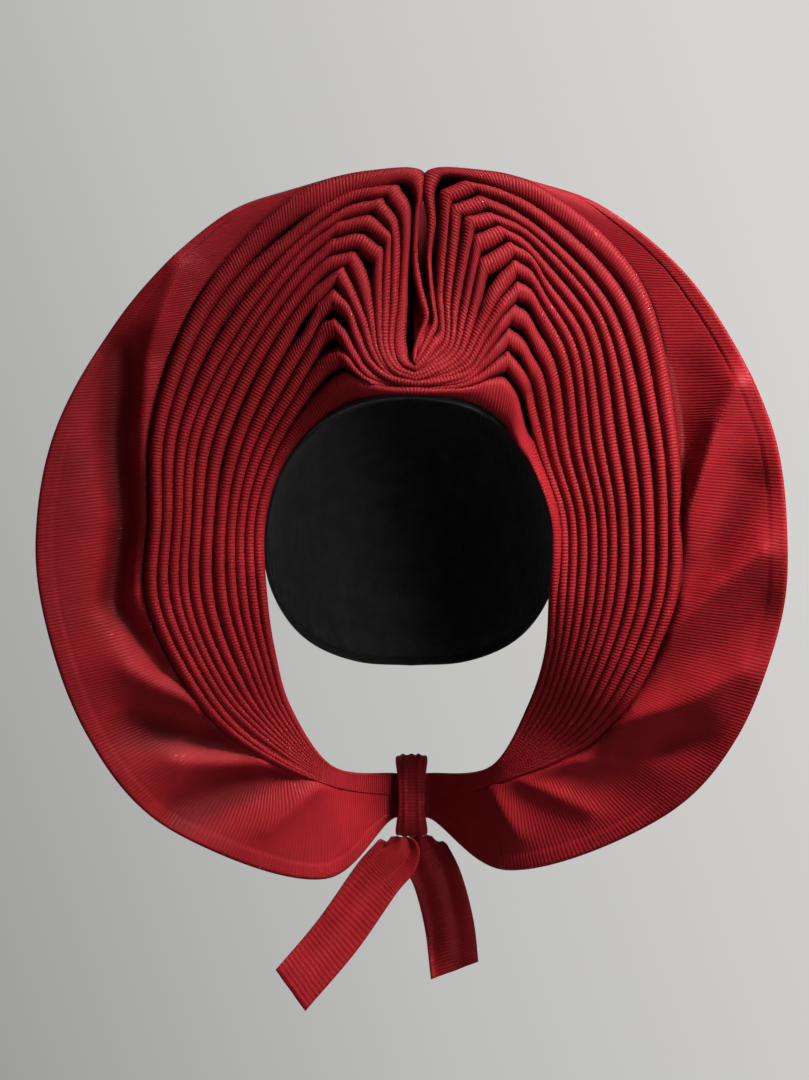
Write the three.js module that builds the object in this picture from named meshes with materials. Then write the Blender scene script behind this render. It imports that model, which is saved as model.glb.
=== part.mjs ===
// A tied gele head tie: one stiff ribbed cloth, pleated round the face opening and pinched
// into a swirl at the middle of the brow, flared outside the pleats, and knotted at the nape
// over a stretch cap.
// Millimetres. +Z is up, the front faces -Y, +X is to the right seen from the front.
// The origin is the crown of the head, on the inside of the cap.

import * as THREE from "three";

// Head room inside the cap: an egg that the cap fits closely.
const HEAD = { halfWidth: 72, halfDepth: 92, halfHeight: 100 };
const CAP_FIT = 0.3;
const CAP_WALL = 1.6;
const BAND_WALL = 2.0;
const BAND_WIDTH = 4.8;
const SMALL_GAP = 0.4;
const REST_GAP = 0.7;

// The cloth.
const PLEATS = 12;
const CLOTH_WALL = 1.7;
const SHEET_WALL = 1.3;
const HEM_WALL = 2.1;
const HEM_WIDTH = 8;
const VALLEY_DEPTH = 8;
const VALLEY_SHARE = 0.72;
const VALLEY_PLACE = 0.5;
const LAST_VALLEY_PLACE = 0.42;
const ROLL_HALF_WIDTH = 1.5;
const ROLL_SHARE = 0.24;
const ROLL_DROP = 0.25;
const GROOVE_DEPTH = 12;

// The last pleat's roll and the groove behind it, as shares of the roll's half width.
const LAST_ROLL = { shoulder: 0.75, shoulderDrop: 0.35, groove: 1.25, grooveDrop: 5 };
// The flare's folds fade in over this share of its width, and its hem takes no more than this.
const FOLD_FADE = 0.3;
const HEM_MOST = 0.3;

// The knot and the ties.
const KNOT = {
  y: 64.8,
  z: -219,
  width: 15,
  halfHeight: 22,
  halfDepth: 12,
  holeHeight: 14,
  holeDepth: 4.4,
};
const KNOT_BEVEL = 2.5;
const TIE_WIDTH = 25;
const TIE_WALL = 2.4;

const COLOURS = { cloth: 0xa81c2c, cap: 0x131216, band: 0x0c0b0e };

// Stations along the pleats, from the nape round each side and over the brow to the dip of the
// swirl. Each row is one place along the cloth. Edge is the cloth's inner edge, first and last
// are the innermost and outermost pleats, hem is the outer edge of the flare.
// Facing turns the cloth's front face from straight ahead, in degrees towards the face.
// Steps is how finely the stretch that ends at this station is cut.
const STATION_COLUMNS = [
  "steps", "edgeX", "edgeZ", "firstX", "firstZ", "lastX", "lastZ", "hemX", "hemZ",
  "edgeY", "firstY", "lastY", "hemY", "facing", "roll",
];
const LEFT_STATIONS = {
  nape: [0, -1, -208.5, -1, -209, -1, -218, -1, -229.5, 63, 63, 64, 65, 0, 0.3],
  knot: [1, -9, -208, -9, -208.5, -9, -218, -9, -230, 62.5, 62.5, 63.5, 64.5, 0, 0.3],
  neck: [2, -40, -201, -41, -202, -43.5, -209.5, -43, -258, 24, 25, 24, 32, 50, 0.3],
  jaw: [3, -60, -170, -61.4, -171.8, -82.5, -188, -125.5, -226, 8, 8, 6, -2, 30, 1.2],
  cheek: [2, -67, -143.3, -68.5, -144.9, -104, -164, -159, -181.5, -7, -8, -14, -22, 18, 1.8],
  ear: [2, -70.5, -116.5, -72.5, -117, -125.4, -117, -177.5, -126, -17, -19, -28, -36, 15, 2.2],
  temple: [2, -71, -78, -74, -78, -123.5, -78, -181, -85.5, -21, -24, -35, -42, 14, 2.2],
  rise: [2, -61.8, -50.5, -64.2, -48, -121.5, -32.3, -171, -34, -24, -29, -40, -44, 10, 2.4],
  slant: [2, -44.5, -31, 0, 0, 0, 0, -136, 25, -38, -41, -45, -42, 5, 3],
  shoulder: [2, -37, -25.5, 0, 0, 0, 0, -91.5, 68, -41, -46, -47, -36, 0, 4],
  bend: [2, -30.5, -22.5, 0, 0, 0, 0, -63, 82, -46, -50, -47, -14, 0, 4.4],
  peak: [2, -24, -20.5, 0, 0, 0, 0, -38, 89, -49.5, -53, -47, 5, 0, 4.4],
  fall: [2, -17, -19, 0, 0, 0, 0, -19, 93, -52, -56, -48, 14, 0, 2.6],
  leg: [2, -11, -18.5, 0, 0, 0, 0, -11, 94, -53.5, -57.5, -46, 17, 0, 1],
  foot: [1, -6, -18, 0, 0, 0, 0, -6, 94.5, -54.5, -58.5, -50, 18, 0, 0.6],
  turn: [1, -2.5, -18, 0, 0, 0, 0, -2.5, 95, -55, -59, -56, 18, 0, 0.3],
  dip: [1, 1.5, -18, 0, 0, 0, 0, 1.5, 95, -55, -59, -58, 18, 0, 0.3],
};
const RIGHT_STATIONS = {
  nape: [0, 1, -208.5, 1, -209, 1, -218, 1, -229.5, 63, 63, 64, 65, 0, 0.3],
  knot: [1, 9, -208, 9, -208.5, 9, -218, 9, -230, 62.5, 62.5, 63.5, 64.5, 0, 0.3],
  neck: [2, 40, -201, 41, -202, 43.5, -208.5, 46.5, -253.5, 24, 25, 24, 32, 50, 0.3],
  jaw: [3, 57.5, -169, 59.1, -171.3, 83.8, -189.8, 126.5, -222.5, 8, 8, 6, -2, 30, 1.2],
  cheek: [2, 65.2, -142.8, 67.2, -144.3, 106.2, -163.5, 159, -183, -7, -8, -14, -22, 18, 1.8],
  ear: [2, 66.8, -116, 68.7, -117, 125, -117, 179, -123, -17, -19, -28, -36, 15, 2.2],
  temple: [2, 66.6, -78, 69, -78, 127, -78, 180.7, -85.5, -21, -24, -35, -42, 14, 2.2],
  rise: [2, 56.3, -50.5, 58.7, -48, 123.6, -32.3, 172.7, -32.5, -24, -29, -40, -44, 10, 2.4],
  slant: [2, 50, -41.5, 0, 0, 0, 0, 135, 36, -38, -41, -45, -42, 5, 3],
  shoulder: [2, 46.5, -36.5, 0, 0, 0, 0, 92, 72.5, -41, -46, -47, -38, 0, 4],
  bend: [2, 42, -31.5, 0, 0, 0, 0, 66, 84, -46, -50, -47, -24, 0, 4.4],
  peak: [2, 37, -27.5, 0, 0, 0, 0, 43, 90, -49.5, -53, -47, -4, 0, 4.4],
  fall: [2, 30, -23.5, 0, 0, 0, 0, 22, 93, -52, -56, -48, 12, 0, 2.6],
  leg: [2, 20.5, -20, 0, 0, 0, 0, 13, 94, -53.5, -57.5, -46, 17, 0, 1],
  foot: [1, 12.5, -18.5, 0, 0, 0, 0, 8, 94.5, -54.5, -58.5, -50, 18, 0, 0.6],
  turn: [1, 6.5, -18, 0, 0, 0, 0, 4.5, 95, -55, -59, -56, 18, 0, 0.3],
  dip: [1, 1.5, -18, 0, 0, 0, 0, 1.5, 95, -55, -59, -58, 18, 0, 0.3],
};

// Where the pleats are gathered evenly, and where the cloth is clear of the cap or lies on it.
const GATHERED = ["nape", "knot", "neck", "jaw"];
const OFF_CAP = [...GATHERED, "cheek", "ear"];

// One row per pleat, innermost first. Flank is its place between the first and last pleat
// along the side. The other columns are the ridge's X and Z at each station over the brow,
// where every pleat climbs to its own peak and falls into the swirl.
const PLEAT_COLUMNS = ["flank", "slant", "shoulder", "bend", "peak", "fall", "leg", "foot", "turn"];
const LEFT_PLEATS = [
  [0, [-47.5, -24.5], [-41.5, -18.5], [-36, -14], [-31, -11.8],
    [-24, -13.6], [-17.5, -15.2], [-11.5, -16.2], [-5.5, -16.8]],
  [0.09, [-53, -18], [-45.5, -8], [-40, -2.5], [-35, 0],
    [-31, -3], [-26.5, -8], [-20, -12.5], [-10.5, -14.6]],
  [0.18, [-56.5, -13], [-48.5, 1.5], [-42, 11.5], [-37, 14],
    [-32.5, 8], [-28, 0], [-21.5, -8.5], [-11.5, -13]],
  [0.27, [-61.5, -7.5], [-52, 8], [-45, 22], [-38.5, 28],
    [-31, 22], [-27.5, 11.5], [-20.5, -3], [-11.5, -10.5]],
  [0.37, [-67.5, -2], [-52, 23.5], [-43, 32.5], [-35.5, 40],
    [-30, 30], [-23.8, 17], [-18.5, 1], [-11, -9]],
  [0.5, [-73, 3.5], [-54, 31], [-40.5, 44.5], [-29, 47],
    [-24.5, 36], [-20.6, 21], [-16.5, 1.5], [-9.8, -8]],
  [0.61, [-77.5, 7.5], [-54, 39.5], [-39, 53], [-26, 55.5],
    [-16, 48.5], [-16.2, 26], [-14.3, 2.5], [-8.5, -7]],
  [0.71, [-81, 11.5], [-54, 48], [-37, 62], [-22, 64.5],
    [-11.5, 57], [-12.7, 27.5], [-12.4, 3], [-7.2, -6]],
  [0.81, [-85, 15.5], [-54, 54], [-32, 69], [-17, 73.5],
    [-9.5, 63], [-8.7, 29], [-10, 4], [-6, -5]],
  [0.86, [-89, 19], [-54, 56.5], [-30.5, 72.5], [-14, 76.5],
    [-6.8, 67], [-6.6, 30.5], [-8.4, 4.5], [-5, -4.4]],
  [0.91, [-93, 23.5], [-54, 60], [-29, 77.5], [-10.5, 80],
    [-3.8, 68.5], [-4.4, 32], [-6.8, 5], [-3.8, -3.6]],
  [1, [-97.5, 29.5], [-54, 75], [-29, 83.5], [-6, 86.3],
    [3.3, 80], [1.6, 46], [5.8, 15], [1.2, 0]],
];
const RIGHT_PLEATS = [
  [0, [54, -39], [51, -30], [48, -21.5], [43.5, -15],
    [36, -14.3], [28.5, -16.2], [18.5, -17], [9, -17.2]],
  [0.08, [55, -17.5], [55, -15], [52, -9.5], [45.8, -2],
    [39, -6.5], [32, -11], [23, -14.4], [12, -15.5]],
  [0.15, [61, -11.5], [57, -4], [52, 4.5], [45.5, 9],
    [40, 2.5], [34, -4], [25.5, -11.5], [13, -13.8]],
  [0.23, [66.5, -6], [59, 8.5], [54, 17], [48, 20.5],
    [42.5, 14.5], [36, 5], [27, -8], [13.8, -12.2]],
  [0.32, [72.5, 0], [61.5, 21], [56, 29.5], [51, 31.5],
    [43.5, 24], [34.4, 10.5], [25.8, -4.5], [13.2, -10.4]],
  [0.4, [77, 4.5], [64, 27], [56.5, 38.5], [49.5, 43],
    [39, 29], [31.8, 13], [24, -1.8], [12, -8.8]],
  [0.48, [81, 8.5], [64, 35], [57, 47], [48.5, 51.5],
    [34, 42.5], [27.6, 17], [21.8, 0.2], [10.8, -7.2]],
  [0.57, [85.5, 13], [64, 42.5], [53, 54.5], [43, 60.5],
    [31.5, 54], [24.4, 20], [19.8, 2.2], [9.6, -5.8]],
  [0.68, [90, 18], [64, 51], [52.5, 61], [38.5, 66.5],
    [28.5, 65], [20.8, 26], [18, 4.2], [8.6, -4.4]],
  [0.78, [94, 21.5], [64, 56.5], [47, 68.5], [35, 74],
    [20.5, 69.5], [17, 29], [16, 6.6], [7.2, -3]],
  [0.9, [99.5, 27], [64, 65], [44.5, 77.5], [28.5, 83],
    [17.3, 77.5], [13.3, 32], [14, 9.8], [5.9, -1.2]],
  [1, [107, 34.5], [64, 76], [42, 84], [18, 88.3],
    [8.4, 84], [8, 48], [11, 16.5], [4.6, 2.2]],
];
// The dip is where the left and right halves of each pleat meet under the swirl.
const DIP_X = 1.5;
const DIP_Z = [-16.9, -15.2, -13.9, -13.1, -12.5, -11.8, -11, -9.5, -7.8, -6.9, -6.1, -3.6];

// Soft folds of the flare. Each runs along its points, X and Z, stands its height in front of
// the sheet, or behind it where negative, and fades out over its width.
const FOLDS = [
  {
    height: 4,
    width: 3.5,
    points: [
      [-113, 43], [-127.5, 3.5], [-131, -35], [-130, -78],
      [-135, -116.5], [-124, -139], [-105, -160], [-74, -180.5],
    ],
  },
  {
    height: -4,
    width: 4.5,
    points: [[-141, -35], [-137, -78], [-143.5, -116.5], [-121.5, -149.5], [-94.5, -165]],
  },
  {
    height: 5.5,
    width: 6,
    points: [[-140, -151], [-100, -172.5], [-53, -196]],
  },
  {
    height: -5.5,
    width: 6,
    points: [[-135, -178], [-100, -186], [-74, -191]],
  },
  {
    height: 3.5,
    width: 3.5,
    points: [[-118, -197.5], [-47.5, -200]],
  },
  {
    height: -5.5,
    width: 6,
    points: [[-111, -220], [-84, -210], [-50, -203]],
  },
  {
    height: 4,
    width: 4,
    points: [[-74, -232], [-58, -217], [-42, -207]],
  },
  {
    height: 7,
    width: 7,
    points: [[158.5, -14], [149.5, -31], [141, -60.5], [133, -83.5], [127, -100]],
  },
  {
    height: -5.5,
    width: 7,
    points: [[162, -62], [145.5, -97.5], [131, -115]],
  },
  {
    height: 7,
    width: 7,
    points: [[172.5, -90], [149, -109.5], [137.5, -121.5], [120, -142], [96.5, -164]],
  },
  {
    height: -5.5,
    width: 6,
    points: [[169.5, -120], [138, -140.5], [109.5, -164.5]],
  },
  {
    height: 7,
    width: 6,
    points: [[164, -146], [137.5, -162], [117.5, -169], [85, -185.5], [55.5, -197]],
  },
  {
    height: -5,
    width: 5,
    points: [[138, -181.5], [100, -191]],
  },
  {
    height: 3.5,
    width: 3.5,
    points: [[114, -194.5], [93.5, -196.5], [67.5, -200], [44, -202]],
  },
  {
    height: 3.5,
    width: 3.5,
    points: [[90, -222], [67.5, -212], [47.5, -204.5]],
  },
  {
    height: 4,
    width: 4,
    points: [[55.5, -235], [47.5, -221.5], [39.5, -207.5]],
  },
];

// Shares of the way from the groove to the hem line where the flare is cut.
const FLARE_ROWS = [0.12, 0.26, 0.42, 0.6, 0.8];

// The lower edge of the cap's band: its height at each turn from the front to the back.
const BAND_LINE = [
  { turn: 0, z: -21 },
  { turn: 20, z: -23.5 },
  { turn: 38, z: -30 },
  { turn: 54, z: -40 },
  { turn: 68, z: -51 },
  { turn: 80, z: -66 },
  { turn: 92, z: -86 },
  { turn: 110, z: -112 },
  { turn: 135, z: -138 },
  { turn: 160, z: -150 },
  { turn: 180, z: -152 },
];
const CAP_TURNS = 28;
const CAP_RINGS = 5;

// Middle lines of the two ties from the knot down to their cut ends.
const TIES = {
  tie_left: {
    slant: 6,
    points: [
      [-5, 61.5, -241.3], [-5.5, 61.3, -246], [-17, 61.5, -260], [-38.5, 61, -290.5], [-62, 57, -318],
    ],
  },
  tie_right: {
    slant: -6,
    points: [[5, 68, -241.3], [5.5, 68.8, -246], [13, 69, -262], [19, 68, -285], [22, 65, -309]],
  },
};
const TIE_STEPS = 8;
const TIE_RIBS = 4;
const TIE_CREASE = 1.6;
// A tie leaves the knot gathered to this share of its width, and is full wide at this share of
// its length. Its crease flattens by this share towards the end.
const TIE_GATHER = 0.44;
const TIE_FULL_AT = 1 / 3;
const TIE_FLATTEN = 0.5;

const CLOTH_ROUGHNESS = 0.62;
const CAP_ROUGHNESS = 0.85;
const BAND_ROUGHNESS = 0.8;

const radians = THREE.MathUtils.degToRad;
const mix = THREE.MathUtils.lerp;

// Reads a station's row by its column names.
function station(table, name) {
  const row = table[name];
  return Object.fromEntries(STATION_COLUMNS.map((column, i) => [column, row[i]]));
}

// Depth of the head room's front, grown by a margin, at a place seen from the front.
function headFront(x, z, margin) {
  const across = x / (HEAD.halfWidth + margin);
  const up = (z + HEAD.halfHeight) / (HEAD.halfHeight + margin);
  return -(HEAD.halfDepth + margin) * Math.sqrt(Math.max(0, 1 - across ** 2 - up ** 2));
}

// A point on the head room grown by a margin, by its turn from the front and its height.
function onHead(turn, z, margin) {
  const up = THREE.MathUtils.clamp((z + HEAD.halfHeight) / (HEAD.halfHeight + margin), -1, 1);
  const level = Math.sqrt(1 - up ** 2);
  const across = Math.sin(turn) / (HEAD.halfWidth + margin);
  const ahead = Math.cos(turn) / (HEAD.halfDepth + margin);
  const reach = level / Math.hypot(across, ahead);
  return new THREE.Vector3(Math.sin(turn) * reach, -Math.cos(turn) * reach, z);
}

// Joins two grids of points, front and back, into one closed wall.
function closedWall(front, back) {
  const rows = front.length;
  const columns = front[0].length;
  const positions = [];
  for (const side of [front, back]) {
    for (const row of side) {
      for (const p of row) positions.push(p.x, p.y, p.z);
    }
  }
  const at = (side, i, j) => side * rows * columns + i * columns + j;
  const index = [];
  const quad = (a, b, c, d) => index.push(a, b, c, a, c, d);
  for (let i = 0; i + 1 < rows; i += 1) {
    for (let j = 0; j + 1 < columns; j += 1) {
      quad(at(0, i, j), at(0, i + 1, j), at(0, i + 1, j + 1), at(0, i, j + 1));
      quad(at(1, i, j), at(1, i, j + 1), at(1, i + 1, j + 1), at(1, i + 1, j));
    }
    quad(at(0, i + 1, 0), at(0, i, 0), at(1, i, 0), at(1, i + 1, 0));
    const end = columns - 1;
    quad(at(0, i, end), at(0, i + 1, end), at(1, i + 1, end), at(1, i, end));
  }
  for (let j = 0; j + 1 < columns; j += 1) {
    quad(at(0, 0, j), at(0, 0, j + 1), at(1, 0, j + 1), at(1, 0, j));
    quad(at(0, rows - 1, j + 1), at(0, rows - 1, j), at(1, rows - 1, j), at(1, rows - 1, j + 1));
  }
  const geometry = new THREE.BufferGeometry();
  geometry.setAttribute("position", new THREE.Float32BufferAttribute(positions, 3));
  geometry.setIndex(index);
  return geometry;
}

// The same, for grids whose rows close on themselves round the head.
function closedRing(sections) {
  const rows = sections.length;
  const columns = sections[0].length;
  const positions = sections.flat().flatMap((p) => [p.x, p.y, p.z]);
  const at = (i, j) => (i % rows) * columns + (j % columns);
  const index = [];
  for (let i = 0; i < rows; i += 1) {
    for (let j = 0; j < columns; j += 1) {
      index.push(at(i, j), at(i + 1, j), at(i + 1, j + 1));
      index.push(at(i, j), at(i + 1, j + 1), at(i, j + 1));
    }
  }
  const geometry = new THREE.BufferGeometry();
  geometry.setAttribute("position", new THREE.Float32BufferAttribute(positions, 3));
  geometry.setIndex(index);
  return geometry;
}

function named(name, geometry, colour, roughness) {
  geometry.computeVertexNormals();
  const material = new THREE.MeshStandardMaterial({ color: colour, roughness, metalness: 0 });
  const mesh = new THREE.Mesh(geometry, material);
  mesh.name = name;
  return mesh;
}

// The furthest back that the cloth's front may lie in front of the cap and its band.
function restDepth(x, z) {
  return headFront(x, z, CAP_FIT + BAND_WALL) - REST_GAP - CLOTH_WALL;
}

// The ridge of one pleat on one side, as a curve through the stations.
function ridgeCurve(stations, pleats, number) {
  const share = number / (PLEATS - 1);
  const row = pleats[number];
  const points = Object.keys(stations).map((name) => {
    const s = station(stations, name);
    const depth = mix(s.firstY, s.lastY, share);
    if (name === "dip") return new THREE.Vector3(DIP_X, depth, DIP_Z[number]);
    const column = PLEAT_COLUMNS.indexOf(name);
    const even = GATHERED.includes(name) ? share : row[0];
    const flank = [mix(s.firstX, s.lastX, even), mix(s.firstZ, s.lastZ, even)];
    const [x, z] = column > 0 ? row[column] : flank;
    const y = OFF_CAP.includes(name) ? depth : Math.min(depth, restDepth(x, z));
    return new THREE.Vector3(x, y, z);
  });
  return new THREE.CatmullRomCurve3(points, false, "centripetal");
}

// The inner edge lies on the cap from the temple to the dip.
function edgeCurve(stations) {
  const points = Object.keys(stations).map((name) => {
    const s = station(stations, name);
    const rest = restDepth(s.edgeX, s.edgeZ);
    const depth = OFF_CAP.includes(name) ? s.edgeY : Math.min(s.edgeY, rest);
    return new THREE.Vector3(s.edgeX, depth, s.edgeZ);
  });
  return new THREE.CatmullRomCurve3(points, false, "centripetal");
}

function hemCurve(stations) {
  const points = Object.keys(stations).map((name) => {
    const s = station(stations, name);
    return new THREE.Vector3(s.hemX, s.hemY, s.hemZ);
  });
  return new THREE.CatmullRomCurve3(points, false, "centripetal");
}

// How far the folds lift the flare at a place seen from the front.
function foldLift(x, z) {
  let lift = 0;
  for (const fold of FOLDS) {
    let nearest = Infinity;
    for (let i = 0; i + 1 < fold.points.length; i += 1) {
      const [ax, az] = fold.points[i];
      const [bx, bz] = fold.points[i + 1];
      const span = (bx - ax) ** 2 + (bz - az) ** 2;
      const along = THREE.MathUtils.clamp(((x - ax) * (bx - ax) + (z - az) * (bz - az)) / span, 0, 1);
      nearest = Math.min(nearest, Math.hypot(x - mix(ax, bx, along), z - mix(az, bz, along)));
    }
    lift += fold.height * Math.exp(-nearest / fold.width);
  }
  return lift;
}

// One cross-section of the cloth from its inner edge to the hem: front points and wall sizes.
// Where it rests on the cap, its valleys stop short of the cap.
function clothSection(curves, u, facing, roll, rests) {
  const normal = new THREE.Vector3(Math.sin(facing), -Math.cos(facing), 0);
  const section = [];
  const add = (p, depth, wall) => {
    section.push({ p: p.clone().addScaledVector(normal, -depth), wall });
  };
  const valleyDepth = (p, wide) => {
    const free = rests ? Math.max(0, restDepth(p.x, p.z) - p.y) : VALLEY_DEPTH;
    return Math.min(VALLEY_DEPTH, VALLEY_SHARE * wide, free);
  };
  const ridges = curves.ridges.map((curve) => curve.getPoint(u));
  const edge = curves.edge.getPoint(u);
  const hem = curves.hem.getPoint(u);
  add(edge, 0, CLOTH_WALL);
  ridges.forEach((ridge, number) => {
    const before = number === 0 ? edge : ridges[number - 1];
    const last = number === PLEATS - 1;
    const inward = ridge.distanceTo(before);
    const inHalf = Math.min(ROLL_SHARE * inward, last ? Math.max(ROLL_HALF_WIDTH, roll) : ROLL_HALF_WIDTH);
    if (number > 0) {
      const valley = before.clone().lerp(ridge, last ? LAST_VALLEY_PLACE : VALLEY_PLACE);
      add(valley, valleyDepth(valley, inward), CLOTH_WALL);
    }
    const drop = ROLL_DROP * inHalf;
    add(ridge.clone().lerp(before, inHalf / inward), drop, CLOTH_WALL);
    if (!last) {
      const outward = ridge.distanceTo(ridges[number + 1]);
      const outHalf = Math.min(ROLL_SHARE * outward, ROLL_HALF_WIDTH);
      add(ridge.clone().lerp(ridges[number + 1], outHalf / outward), drop, CLOTH_WALL);
      return;
    }
    const away = ridge.clone().sub(before).normalize();
    const shoulder = ridge.clone().addScaledVector(away, LAST_ROLL.shoulder * roll);
    add(shoulder, LAST_ROLL.shoulderDrop * roll, CLOTH_WALL);
    const groove = ridge.clone().addScaledVector(away, LAST_ROLL.groove * roll);
    const depth = Math.min(GROOVE_DEPTH, LAST_ROLL.grooveDrop * roll);
    add(groove, depth, SHEET_WALL);
    const start = groove.addScaledVector(normal, -depth);
    const run = hem.distanceTo(start);
    const hemLine = 1 - Math.min(HEM_MOST, HEM_WIDTH / run);
    for (const share of [...FLARE_ROWS.map((v) => v * hemLine), hemLine, 1]) {
      const p = start.clone().lerp(hem, share);
      const fade = Math.sin((Math.PI / 2) * Math.min(1, share / FOLD_FADE));
      const wall = share >= hemLine ? HEM_WALL : SHEET_WALL;
      add(p, -foldLift(p.x, p.z) * fade, wall);
    }
  });
  return section.map(({ p, wall }) => ({ front: p, back: p.clone().addScaledVector(normal, -wall) }));
}

// Cross-sections of one side from the nape to the dip.
function clothSide(stations, pleats, side) {
  const names = Object.keys(stations);
  const curves = {
    ridges: pleats.map((row, number) => ridgeCurve(stations, pleats, number)),
    edge: edgeCurve(stations),
    hem: hemCurve(stations),
  };
  const sections = [];
  names.forEach((name, i) => {
    const here = station(stations, name);
    const before = station(stations, names[Math.max(0, i - 1)]);
    for (let k = 1; k <= Math.max(1, here.steps); k += 1) {
      const share = i === 0 ? 1 : k / here.steps;
      const u = i === 0 ? 0 : (i - 1 + share) / (names.length - 1);
      const facing = radians(-side * mix(before.facing, here.facing, share));
      const roll = mix(before.roll, here.roll, share);
      sections.push(clothSection(curves, u, facing, roll, !OFF_CAP.includes(name)));
    }
  });
  return sections;
}

function makeCloth() {
  const left = clothSide(LEFT_STATIONS, LEFT_PLEATS, -1);
  const right = clothSide(RIGHT_STATIONS, RIGHT_PLEATS, 1);
  const sections = [...left, ...right.reverse().slice(1)];
  const front = sections.map((section) => section.map((p) => p.front));
  const back = sections.map((section) => section.map((p) => p.back));
  return named("gele_cloth", closedWall(front, back), COLOURS.cloth, CLOTH_ROUGHNESS);
}

// Height of the band's lower edge at a turn from the front.
function bandHeight(turn) {
  const degrees = Math.abs(THREE.MathUtils.radToDeg(Math.atan2(Math.sin(turn), Math.cos(turn))));
  const next = Math.max(1, BAND_LINE.findIndex((row) => row.turn >= degrees));
  const low = BAND_LINE[next - 1];
  const high = BAND_LINE[next];
  return mix(low.z, high.z, (degrees - low.turn) / (high.turn - low.turn));
}

// Height of a point that lies a distance up the head from the band's lower edge.
function climb(turn, distance) {
  const low = bandHeight(turn);
  const angle = Math.acos(THREE.MathUtils.clamp((low + HEAD.halfHeight) / HEAD.halfHeight, -1, 1));
  return HEAD.halfHeight * (Math.cos(angle - distance / HEAD.halfHeight) - 1);
}

function makeBand() {
  const sections = [];
  for (let i = 0; i < CAP_TURNS; i += 1) {
    const turn = (2 * Math.PI * i) / CAP_TURNS;
    const low = climb(turn, 0);
    const high = climb(turn, BAND_WIDTH);
    sections.push([
      onHead(turn, low, CAP_FIT),
      onHead(turn, low, CAP_FIT + BAND_WALL),
      onHead(turn, high, CAP_FIT + BAND_WALL),
      onHead(turn, high, CAP_FIT),
    ]);
  }
  return named("cap_band", closedRing(sections), COLOURS.band, BAND_ROUGHNESS);
}

// The cap's dome: an outer and an inner shell from its lower edge to the crown.
function makeCap() {
  const positions = [];
  const shells = [CAP_FIT + CAP_WALL, CAP_FIT];
  for (const margin of shells) {
    for (let ring = 0; ring < CAP_RINGS; ring += 1) {
      for (let i = 0; i < CAP_TURNS; i += 1) {
        const turn = (2 * Math.PI * i) / CAP_TURNS;
        const foot = climb(turn, BAND_WIDTH + SMALL_GAP);
        const start = Math.acos((foot + HEAD.halfHeight) / HEAD.halfHeight);
        const angle = start * (1 - ring / CAP_RINGS);
        const z = (HEAD.halfHeight + margin) * Math.cos(angle) - HEAD.halfHeight;
        const p = onHead(turn, ring === 0 ? foot : z, margin);
        positions.push(p.x, p.y, p.z);
      }
    }
  }
  for (const margin of shells) positions.push(0, 0, margin);
  const at = (shell, ring, i) => (shell * CAP_RINGS + ring) * CAP_TURNS + (i % CAP_TURNS);
  const index = [];
  for (let i = 0; i < CAP_TURNS; i += 1) {
    for (let ring = 0; ring + 1 < CAP_RINGS; ring += 1) {
      const outer = [at(0, ring, i), at(0, ring, i + 1), at(0, ring + 1, i + 1), at(0, ring + 1, i)];
      const inner = [at(1, ring, i), at(1, ring, i + 1), at(1, ring + 1, i + 1), at(1, ring + 1, i)];
      index.push(outer[0], outer[1], outer[2], outer[0], outer[2], outer[3]);
      index.push(inner[0], inner[2], inner[1], inner[0], inner[3], inner[2]);
    }
    const top = CAP_RINGS - 1;
    const crown = 2 * CAP_RINGS * CAP_TURNS;
    index.push(at(0, top, i), at(0, top, i + 1), crown);
    index.push(at(1, top, i + 1), at(1, top, i), crown + 1);
    index.push(at(0, 0, i), at(1, 0, i), at(1, 0, i + 1));
    index.push(at(0, 0, i), at(1, 0, i + 1), at(0, 0, i + 1));
  }
  const geometry = new THREE.BufferGeometry();
  geometry.setAttribute("position", new THREE.Float32BufferAttribute(positions, 3));
  geometry.setIndex(index);
  return named("inner_cap", geometry, COLOURS.cap, CAP_ROUGHNESS);
}

// The knot wraps the gathered ends at the nape.
function makeKnot() {
  const outline = new THREE.Shape();
  outline.absellipse(0, 0, KNOT.halfHeight - KNOT_BEVEL, KNOT.halfDepth - KNOT_BEVEL, 0, 2 * Math.PI);
  const hole = new THREE.Path();
  hole.absellipse(0, 0, KNOT.holeHeight + KNOT_BEVEL, KNOT.holeDepth + KNOT_BEVEL, 0, 2 * Math.PI);
  outline.holes.push(hole);
  const depth = KNOT.width - 2 * KNOT_BEVEL;
  const geometry = new THREE.ExtrudeGeometry(outline, {
    depth,
    curveSegments: 8,
    steps: 1,
    bevelEnabled: true,
    bevelSize: KNOT_BEVEL,
    bevelThickness: KNOT_BEVEL,
    bevelSegments: 2,
  });
  geometry.translate(0, 0, -depth / 2);
  geometry.rotateY(Math.PI / 2);
  geometry.translate(0, KNOT.y, KNOT.z);
  return named("nape_knot", geometry, COLOURS.cloth, CLOTH_ROUGHNESS);
}

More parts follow.
